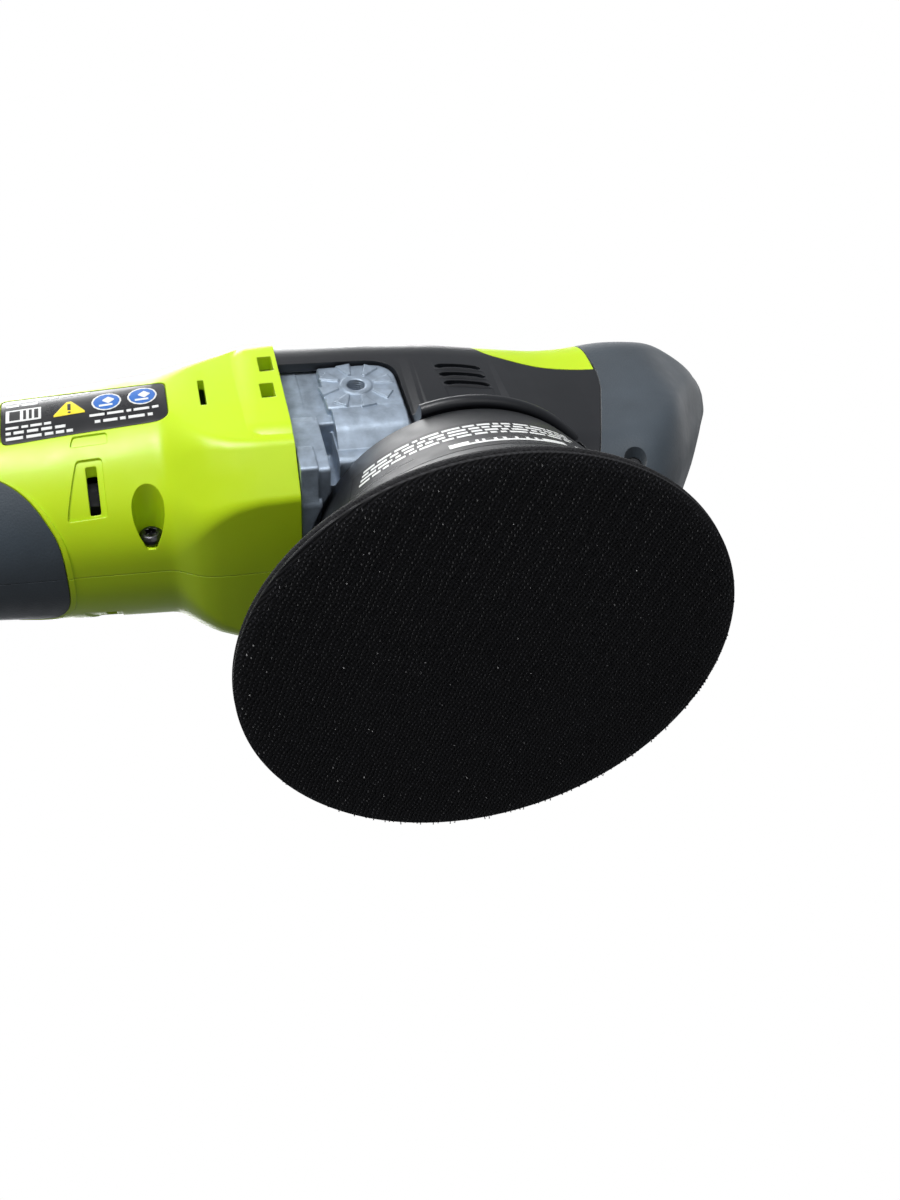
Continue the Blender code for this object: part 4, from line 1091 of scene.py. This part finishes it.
def gear_case():
    case = rod("case", "Z", (0, 0, 0), 25.0, 57.5, 97.0, 72)
    parts = [box("case_block", (-40, -24.6, SHROUD_HIGH + 0.3), (0, 24.6, 94), 2.5, 4)]
    flange = form("case_flange", [Station(x, MOTOR_Z, 27.4, 30.0, 33.6, 33.0, 37.6, 3)
                                  for x in (CASE_LEFT, -38.5)])
    join(case, flange, *parts, *case_side(-1), *case_side(1))
    join(case, *boss_disc(-1), *boss_disc(1))
    cut(case, rod("plate_seat", "Z", (0, 0, 0), 25.3, 40, 57.5, 72),
        rod("chamber", "Z", (0, 0, 0), 22.6, 50, 93, 48), rod("seat", "Z", (0, 0, 0), 13.4, 90, 94.2, 48))
    cut(case, rod("motor_bore", "X", (0, 0, MOTOR_Z), 11.5, -50, -34.0, 48),
        rod("pinion_bore", "X", (0, 0, MOTOR_Z), 9.4, -40, -15, 48))
    cut(case, shroud_clearance("case_clearance"), *case_slots(),
        *case_rods("head_seat", 4.3, -38.4, -34.6, 32))
    cut(case, thread_hole(-1), thread_hole(1), *case_rods("screw_hole", 2.3, -50, -35))
    return finish(case, "alloy", "gear_case", sharp=38)


def shroud():
    outer = rounded([(12.5, SHROUD_HIGH), (37.7, SHROUD_HIGH), (38.5, 51.6), (45.9, 28.9), (46.3, 28.6),
                     (49.5, 19.4), (50.0, 18.9), (50.0, SHROUD_LOW), (48.0, SHROUD_LOW), (36.4, 50.0),
                     (12.5, 50.0)], 0.7, 5)
    piece = finish(turned("shroud_shell", outer, steps=180), "shroud", "shroud")
    shroud_print(piece)


PRINT_ROWS = ((39.0, -133.0, -58.0), (37.0, -133.5, -59.0), (35.0, -134.0, -60.0), (33.0, -134.5, -62.0),
              (31.0, -134.5, -110.0), (29.0, -135.0, -114.0))


def shroud_print(piece):
    """Glossy film on the shroud's left flank, with bars for the lines of print and a plain white strip."""
    body = BODY_OF["shroud"]

    def direction_at(degrees, z):
        out = Vector((cos(radians(degrees)), sin(radians(degrees)), 0))
        return out * 70 + Vector((0, 0, z)), -out

    place = thrown_on(piece, direction_at)
    dice = random.Random(5)
    white = [bar(-104.0, -68.5, 25.9, 29.6), bar(-65.0, -54.0, 24.6, 30.4)]
    for v, start, end in PRINT_ROWS:
        white += line_of_print(dice, start, end, v, 1.15, 6.5, 0.9)
    printed("shroud_film", "film", place, [bar(-138.5, -51.0, 23.4, 41.4)], 0.03, body)
    printed("shroud_white", "ink_white", place, white, 0.07, body)
    dark = [bar(-63.6 + 2.3 * i, -62.5 + 2.3 * i, 25.6, 29.2) for i in range(4)]
    dark += line_of_print(dice, -98.0, -75.0, 27.7, 1.2, 3.0, 0.9)
    printed("shroud_dark", "ink_black", place, dark, 0.11, body)


# ---------------------------------------------------------------- pad

HOOK_RADIUS = 62.2
HOOK_ROW_WAY = (0.37, -0.93)     # direction of the hook rows in the pad's face
HOOK_PITCH, ROW_PITCH = 1.12, 1.18
HOOK_HIGH = 1.05
HOOK_JITTER, HOOK_TURN = 0.05, 0.2        # spread of place and of direction
HOOK_REACH = (0.75, 1.1)                  # shortest and longest share of a hook's bend
# rings along a hook: forward, height, radius, and how far the ring is turned up and out
HOOK_RINGS = ((0.0, HOOK_HIGH, 0.17, 0.0, 1.0), (0.02, 0.48, 0.15, 0.15, 1.0), (0.26, 0.07, 0.17, 0.9, 0.5),
              (0.56, 0.34, 0.12, 0.8, -0.7))


def hook_field():
    """Rows of small hooks that lean alternately, each a bent bar with three sides."""
    dice = np.random.default_rng(7)
    along = np.array(HOOK_ROW_WAY) / np.linalg.norm(HOOK_ROW_WAY)
    across = np.array((-along[1], along[0]))
    rows = int(HOOK_RADIUS / ROW_PITCH) + 1
    per_row = int(HOOK_RADIUS / HOOK_PITCH) + 1
    i, j = np.meshgrid(np.arange(-rows, rows + 1), np.arange(-per_row, per_row + 1), indexing="ij")
    i, j = i.ravel(), j.ravel()
    u = i * ROW_PITCH + 0.22 * np.sin(j * 0.9)
    v = (j + 0.5 * (i % 2)) * HOOK_PITCH
    spot = u[:, None] * across + v[:, None] * along
    spot += dice.normal(0, HOOK_JITTER, spot.shape)
    inside = np.hypot(spot[:, 0], spot[:, 1]) < HOOK_RADIUS - 0.5
    spot, row = spot[inside], i[inside]
    lean_sign = np.where((row // 2) % 2 == 0, 1.0, -1.0)
    turn = dice.normal(0, HOOK_TURN, len(spot))
    lean = (along * np.cos(turn)[:, None] + across * np.sin(turn)[:, None]) * lean_sign[:, None]
    side = np.stack((-lean[:, 1], lean[:, 0]), axis=1)
    reach = dice.uniform(*HOOK_REACH, len(spot))
    rings = []
    for forward, depth, size, rise, spread in HOOK_RINGS:
        centre = spot + lean * (forward * reach)[:, None]
        height = HOOK_HIGH - (HOOK_HIGH - depth) * reach.clip(0.8, 1.0)
        for k in range(3):
            angle = 2 * pi * k / 3 + pi / 2
            out = np.zeros((len(spot), 3))
            out[:, :2] = centre + side * (size * cos(angle)) + lean * (size * sin(angle) * spread)
            out[:, 2] = height + size * sin(angle) * rise
            rings.append(out)
    verts = np.stack(rings, axis=1)
    verts[:, :, 0] += ECCENTRIC
    verts[:, :, 2] = verts[:, :, 2].clip(0.0, None)
    faces = [(0, 2, 1), (9, 10, 11)]
    for ring in range(3):
        for k in range(3):
            a, b = ring * 3 + k, ring * 3 + (k + 1) % 3
            faces.append((a, b, b + 3, a + 3))
    return verts, faces


def add_hooks(mesh_verts, faces):
    count, size, _ = mesh_verts.shape
    mesh = bpy.data.meshes.new("hooks")
    flat = (mesh_verts.reshape(-1, 3) * MM).astype(np.float32)
    all_faces = [np.arange(count)[:, None] * size + np.array(face)[None, :] for face in faces]
    loops = np.concatenate([f.ravel() for f in all_faces])
    totals = np.concatenate([np.full(count, f.shape[1]) for f in all_faces])
    starts = np.concatenate(([0], np.cumsum(totals)[:-1]))
    mesh.vertices.add(len(flat))
    mesh.vertices.foreach_set("co", flat.ravel())
    mesh.loops.add(len(loops))
    mesh.loops.foreach_set("vertex_index", loops.astype(np.int32))
    mesh.polygons.add(len(totals))
    mesh.polygons.foreach_set("loop_start", starts.astype(np.int32))
    mesh.update(calc_edges=True)
    mesh.validate()
    return linked("hook_field", mesh)


def pad():
    centre = (ECCENTRIC, 0, 0)
    sheet = rounded([(0, 0.95), (HOOK_RADIUS, 0.95), (HOOK_RADIUS, 1.75), (0, 1.75)], 0.2, 3)
    finish(turned("hook_sheet", sheet, centre=centre, steps=180), "backing", "hook_face")
    hooks = add_hooks(*hook_field())
    finish(hooks, "hooks", rides=BODY_OF["hook_face"], sharp=70)
    edge = rounded([(0, 1.9), (61.6, 1.9), (62.4, 2.7), (61.8, 4.2), (60.2, 5.5), (58.2, 7.6), (56.0, 9.3),
                    (0, 9.3)], 0.8, 5)
    finish(turned("foam_pad", edge, centre=centre, steps=180), "foam", "pad_foam")
    plate = rounded([(0, 9.6), (54.5, 9.6), (54.5, 11.4), (50, 12.6), (44, 13.0), (43.0, 16.2), (16, 17.2),
                     (14.5, 19.1), (0, 19.1)], 0.8, 5)
    backing = turned("backing_plate", plate, centre=centre, steps=120)
    join(backing, *[pad_rib(f"rib_{i}", Vector(centre), 2 * pi * i / 12) for i in range(12)])
    finish(backing, "black", "pad_plate")


def pad_rib(name, centre, angle):
    """Radial rib on the backing plate, lower towards the rim."""
    across = Vector((-sin(angle), cos(angle), 0)) * 0.9
    out = Vector((cos(angle), sin(angle), 0))
    rings = []
    for radius, low, high in ((15, 14.0, 18.4), (48, 11.0, 14.2)):
        foot = centre + out * radius
        rings.append([foot + across * sign + Vector((0, 0, z))
                      for sign, z in ((1, low), (-1, low), (-1, high), (1, high))])
    return loft(name, rings)


# ---------------------------------------------------------------- controls

def smoothed(obj, width, segments=4, angle=30):
    modifier = obj.modifiers.new("soft_edges", "BEVEL")
    modifier.width = width * MM
    modifier.segments = segments
    modifier.limit_method = "ANGLE"
    modifier.angle_limit = radians(angle)
    return settle(obj)


def controls():
    outline = rounded_loop([(-140.6, 59.5), (-140.6, 51.6), (-150, 46.9), (-176, 45.2), (-198, 46.0),
                            (-207, 50.0), (-207, 57), (-150, 59.5)], 4.0, 8)
    lever = smoothed(prism("trigger_lever", outline, "Y", -9.7, 9.7), 1.6)
    dips = [rod(f"trigger_dip_{i}", "Y", (-160.0 - 4.2 * i, 0, 44.7), 1.35, -7.4, 7.4, 24)
            for i in range(10)]
    cut(lever, *dips)
    cut(lever, rod("trigger_bore", "Y", TRIGGER_PIVOT, 1.9, -15, 15, 24))
    finish(lever, "black", "trigger")
    low = cad("lock_button")[0].y
    profile = [(0, low), (2.0, low + 0.05), (2.3, low + 0.5), (3.0, low + 0.5), (3.3, low + 0.12),
               (4.3, low + 0.3), (5.0, low + 1.0), (5.0, -18.0), (6.6, -18.0), (6.6, -16.4), (0, -16.4)]
    finish(turned("lock_plunger", profile, "Y", (LOCK_X, 0, LOCK_Z), 56), "black", "lock_button")
    finish(dial(), "black", "speed_dial")


SPRING_RADIUS, COIL_STEPS = 3.0, 24


def spring(node, low, high, wire, turns):
    """Coil spring between two points."""
    low, high = Vector(low), Vector(high)
    across = Vector((1, 0, 0))
    other = (high - low).normalized().cross(across)
    path = []
    for i in range(turns * COIL_STEPS + 1):
        angle = 2 * pi * i / COIL_STEPS
        out = (across * cos(angle) + other * sin(angle)) * SPRING_RADIUS
        path.append(low.lerp(high, i / (turns * COIL_STEPS)) + out)
    coil = finish(tube(node + "_coil", path, wire / 2, 10, taper=False), "steel", node)
    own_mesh(coil)


def springs():
    seat = (LOCK_X, -8.7, LOCK_Z)
    spring("lock_spring", (LOCK_X, -15.8, LOCK_Z), seat, 0.7, 5)
    seat = (-186.0, 0.0, 63.3)
    spring("trigger_spring", (-186.0, 0.0, 58.7), seat, 0.8, 4)


DIAL_RIDGES, RIDGE_DEPTH = 30, 0.75


def dial():
    angles = [2 * pi * i / 180 for i in range(180)]
    rim = [(angle, DIAL_RADIUS - RIDGE_DEPTH * (0.5 - 0.5 * cos(DIAL_RIDGES * angle)) ** 1.5)
           for angle in angles]
    rings = []
    for y, shrink in ((-4.5, 0.9), (-4.1, 0.25), (-3.6, 0.0), (3.6, 0.0), (4.1, 0.25), (4.5, 0.9)):
        rings.append([(DIAL_X + (r - shrink) * cos(a), y, DIAL_Z + (r - shrink) * sin(a)) for a, r in rim])
    wheel = loft("speed_wheel", rings)
    return join(wheel, rod("dial_axle", "Y", (DIAL_X, 0, DIAL_Z), 2.0, -8.5, 8.5, 32))


# ---------------------------------------------------------------- battery

PACK_SPLIT = -290.0
PACK_GAP = 0.1                   # half of the gap between the two shells
PACK_WALL = 2.5
PACK_LOW, PACK_HIGH = cad("battery_rear_shell")[0], cad("battery_front_shell")[1]
PACK_FACE = -262.3               # the face that meets the motor body
PACK_BACK = -320.4               # the sunk panel in the rear face


def pack_body(name, start, end):
    block = box(name, PACK_LOW, (PACK_FACE, PACK_HIGH.y, PACK_HIGH.z), 7.0, 8)
    return keep(block, box(name + "_range", (start, -60, 0), (end, 60, 160)))


def pack_hollow(name):
    wall = Vector((PACK_WALL,) * 3)
    return box(name, PACK_LOW + wall, Vector((PACK_FACE, PACK_HIGH.y, PACK_HIGH.z)) - wall, 3.0, 3)


def side_grooves(tag, x0, x1, count):
    made = []
    for side in SIDES:
        for index in range(count):
            z = 46.0 + index * 6.0
            made.append(flank_box(f"{tag}_{side}_{index}", side, (x0, 36.9, z), (x1, 45, z + 2.2), 0.5, 2))
    return made


def battery():
    rear = pack_body("rear_pack", -330, PACK_SPLIT - PACK_GAP)
    cut(rear, pack_hollow("rear_hollow"))
    cut(rear, *side_grooves("rear_groove", -317.0, -294.0, 11))
    cut(rear, box("rear_panel", (-330, -24, 44), (PACK_BACK, 24, 109), 3.0, 4))
    finish(rear, "pack", "battery_rear_shell")
    front = pack_body("front_pack", PACK_SPLIT + PACK_GAP, -255)
    join(front, box("stem", (-264, -14, 60), (-221, 14, 93), 3.0, 5))
    cut(front, pack_hollow("front_hollow"))
    cut(front, box("stem_hollow", (-268, -11, 63), (-229, 11, 90)))
    openings = [box(f"stem_slot_{i}", (-235, y - 1.0, 65), (-215, y + 1.0, 77))
                for i, y in enumerate((-6, 0, 6))]
    for side in SIDES:
        openings.append(flank_box(f"stem_rail_{side}", side, (-262, 13.2, 82), (-218, 16, 84.5)))
        openings.append(flank_box(f"latch_window_{side}", side, (-278.0, 30, 65), (-269.5, 45, 88), 0.5, 2))
    cut(front, *openings)
    finish(front, "pack", "battery_front_shell")
    latch(-1, "latch_left")
    latch(1, "latch_right")
    gauge()


def latch(side, node):
    button = flank_box(node + "_key", side, (-277.6, 34.5, 65.5), (-269.9, 38.9, 87.5), 0.9, 4)
    join(button, flank_box(node + "_flange", side, (-278.9, 33.0, 64.2), (-268.6, 34.9, 88.8), 0.3, 2))
    ridges = [rod(f"{node}_dip_{i}", "X", (0, side * 39.5, 69.5 + i * 3.5), 1.3, -279, -268, 24)
              for i in range(5)]
    cut(button, *ridges)
    return finish(button, "lime", node)


def gauge():
    """Charge gauge on the pack's rear panel: a button and four plain lights."""
    body = BODY_OF["battery_rear_shell"]
    face = PACK_BACK
    profile = rounded([(0, face + 0.5), (4.0, face + 0.5), (4.0, face - 0.35), (0, face - 0.45)], 0.3, 4)
    finish(turned("gauge_key", profile, "X", (0, -13.0, 98.0), 40), "slate_rubber", rides=body)
    for index in range(4):
        y = -4.0 + index * 6.0
        light = box(f"gauge_light_{index}", (face - 0.15, y - 1.8, 96.6), (face + 0.5, y + 1.8, 99.4), 0.4, 3)
        finish(light, "ink_white", rides=body)


# ---------------------------------------------------------------- stage

def carried_over():
    """Procedural finishes for the CAD nodes that still show; the motor can is made dark as painted shade
    inside the body.
    """
    for node, obj in frame["nodes"].items():
        material = PAINTED_SHADE_FINISH_OF_NODE.get(node, FINISH_OF_SLOT[SLOT_OF[node]])
        obj.data.materials.clear()
        obj.data.materials.append(MATERIALS[material].material)


CAMERA_PLACE = (-77.83, -224.24, -209.17)
CAMERA_TARGET = (-12.04, -9.89, 13.50)
CAMERA_ROLL = -18.675            # degrees, from upright
CAMERA_LENS, CAMERA_SENSOR = 39.0, 36.0
AIM = (0.0, 0.0, 0.06)           # where the lamps point, in metres
FADE_START, FADE_END = 0.22, 0.72


def camera():
    data = bpy.data.cameras.new("camera")
    data.lens, data.sensor_width = CAMERA_LENS, CAMERA_SENSOR
    data.clip_start = 0.01
    obj = linked("camera", data)
    place, target = Vector(CAMERA_PLACE) * MM, Vector(CAMERA_TARGET) * MM
    aim = (target - place).to_track_quat("-Z", "Y").to_matrix().to_4x4()
    obj.matrix_world = Matrix.Translation(place) @ aim @ Matrix.Rotation(radians(CAMERA_ROLL), 4, "Z")
    bpy.context.scene.camera = obj


def lamp(name, place, size, power):
    data = bpy.data.lights.new(name, "AREA")
    data.shape = "RECTANGLE"
    data.size, data.size_y = size
    data.energy = power
    obj = linked(name, data)
    obj.location = place
    obj.rotation_euler = (Vector(AIM) - Vector(place)).to_track_quat("-Z", "Y").to_euler()


def mixed(tree, factor, first, second):
    """Output of a shader that goes from first to second with a factor."""
    made = new_node(tree, "ShaderNodeMixShader")
    for socket, source in enumerate((factor, first, second)):
        tree.links.new(source, made.inputs[socket])
    return made.outputs[0]


def floor():
    """Pale floor that fades to plain white far out; from below it is clear, as the camera looks up."""
    bm = bmesh.new()
    bmesh.ops.create_circle(bm, cap_ends=True, segments=96, radius=3000.0)
    obj = new_object("floor", bm)
    obj.location = (-0.12, 0, -0.0012)
    material = bpy.data.materials.new("floor")
    material.use_nodes = True
    tree = material.node_tree
    pale = tree.nodes["Principled BSDF"]
    pale.inputs["Base Color"].default_value = (0.80, 0.80, 0.80, 1)
    pale.inputs["Roughness"].default_value = 0.8
    place = new_node(tree, "ShaderNodeTexCoord")
    distance = new_node(tree, "ShaderNodeVectorMath", operation="LENGTH")
    fade = new_node(tree, "ShaderNodeMapRange", inputs=span(FADE_START, FADE_END),
                    interpolation_type="SMOOTHERSTEP")
    tree.links.new(place.outputs["Object"], distance.inputs[0])
    tree.links.new(distance.outputs["Value"], fade.inputs["Value"])
    white = new_node(tree, "ShaderNodeEmission")
    far = mixed(tree, fade.outputs["Result"], pale.outputs[0], white.outputs[0])
    clear = new_node(tree, "ShaderNodeBsdfTransparent")
    side = new_node(tree, "ShaderNodeNewGeometry")
    seen = mixed(tree, side.outputs["Backfacing"], far, clear.outputs[0])
    tree.links.new(seen, tree.nodes["Material Output"].inputs["Surface"])
    obj.data.materials.append(material)
    for ray in ("diffuse", "glossy", "transmission", "shadow"):
        setattr(obj, f"visible_{ray}", False)


def world():
    """White backdrop; the light it gives is cooler, and weaker from below."""
    made = bpy.data.worlds.new("studio")
    made.use_nodes = True
    tree = made.node_tree
    light = tree.nodes["Background"]
    light.inputs["Color"].default_value = (0.93, 0.96, 1.0, 1)
    place = new_node(tree, "ShaderNodeTexCoord")
    split = new_node(tree, "ShaderNodeSeparateXYZ")
    dimmed = new_node(tree, "ShaderNodeMapRange", inputs=span(-0.7, 0.5, 0.09, 0.42))
    tree.links.new(place.outputs["Generated"], split.inputs[0])
    tree.links.new(split.outputs["Z"], dimmed.inputs["Value"])
    tree.links.new(dimmed.outputs["Result"], light.inputs["Strength"])
    backdrop = new_node(tree, "ShaderNodeBackground", inputs={"Color": (1, 1, 1, 1), "Strength": 1.0})
    path = new_node(tree, "ShaderNodeLightPath")
    seen = mixed(tree, path.outputs["Is Camera Ray"], light.outputs[0], backdrop.outputs[0])
    tree.links.new(seen, tree.nodes["World Output"].inputs["Surface"])
    bpy.context.scene.world = made


def studio():
    bpy.context.scene.view_settings.view_transform = "Standard"
    world()
    floor()
    camera()
    lamp("key", (-0.35, -1.05, 0.02), (0.55, 0.45), 11.5)
    lamp("under", (0.25, -0.75, -0.6), (0.8, 0.6), 1.6)
    lamp("top", (-0.2, 0.15, 1.25), (1.0, 0.8), 17)
    lamp("back", (-0.5, 0.95, 1.0), (0.8, 0.6), 6)


carried_over()
motor_body()
rating_label()
head_cover()
nose()
accent()
gear_case()
shroud()
pad()
controls()
springs()
battery()
studio()
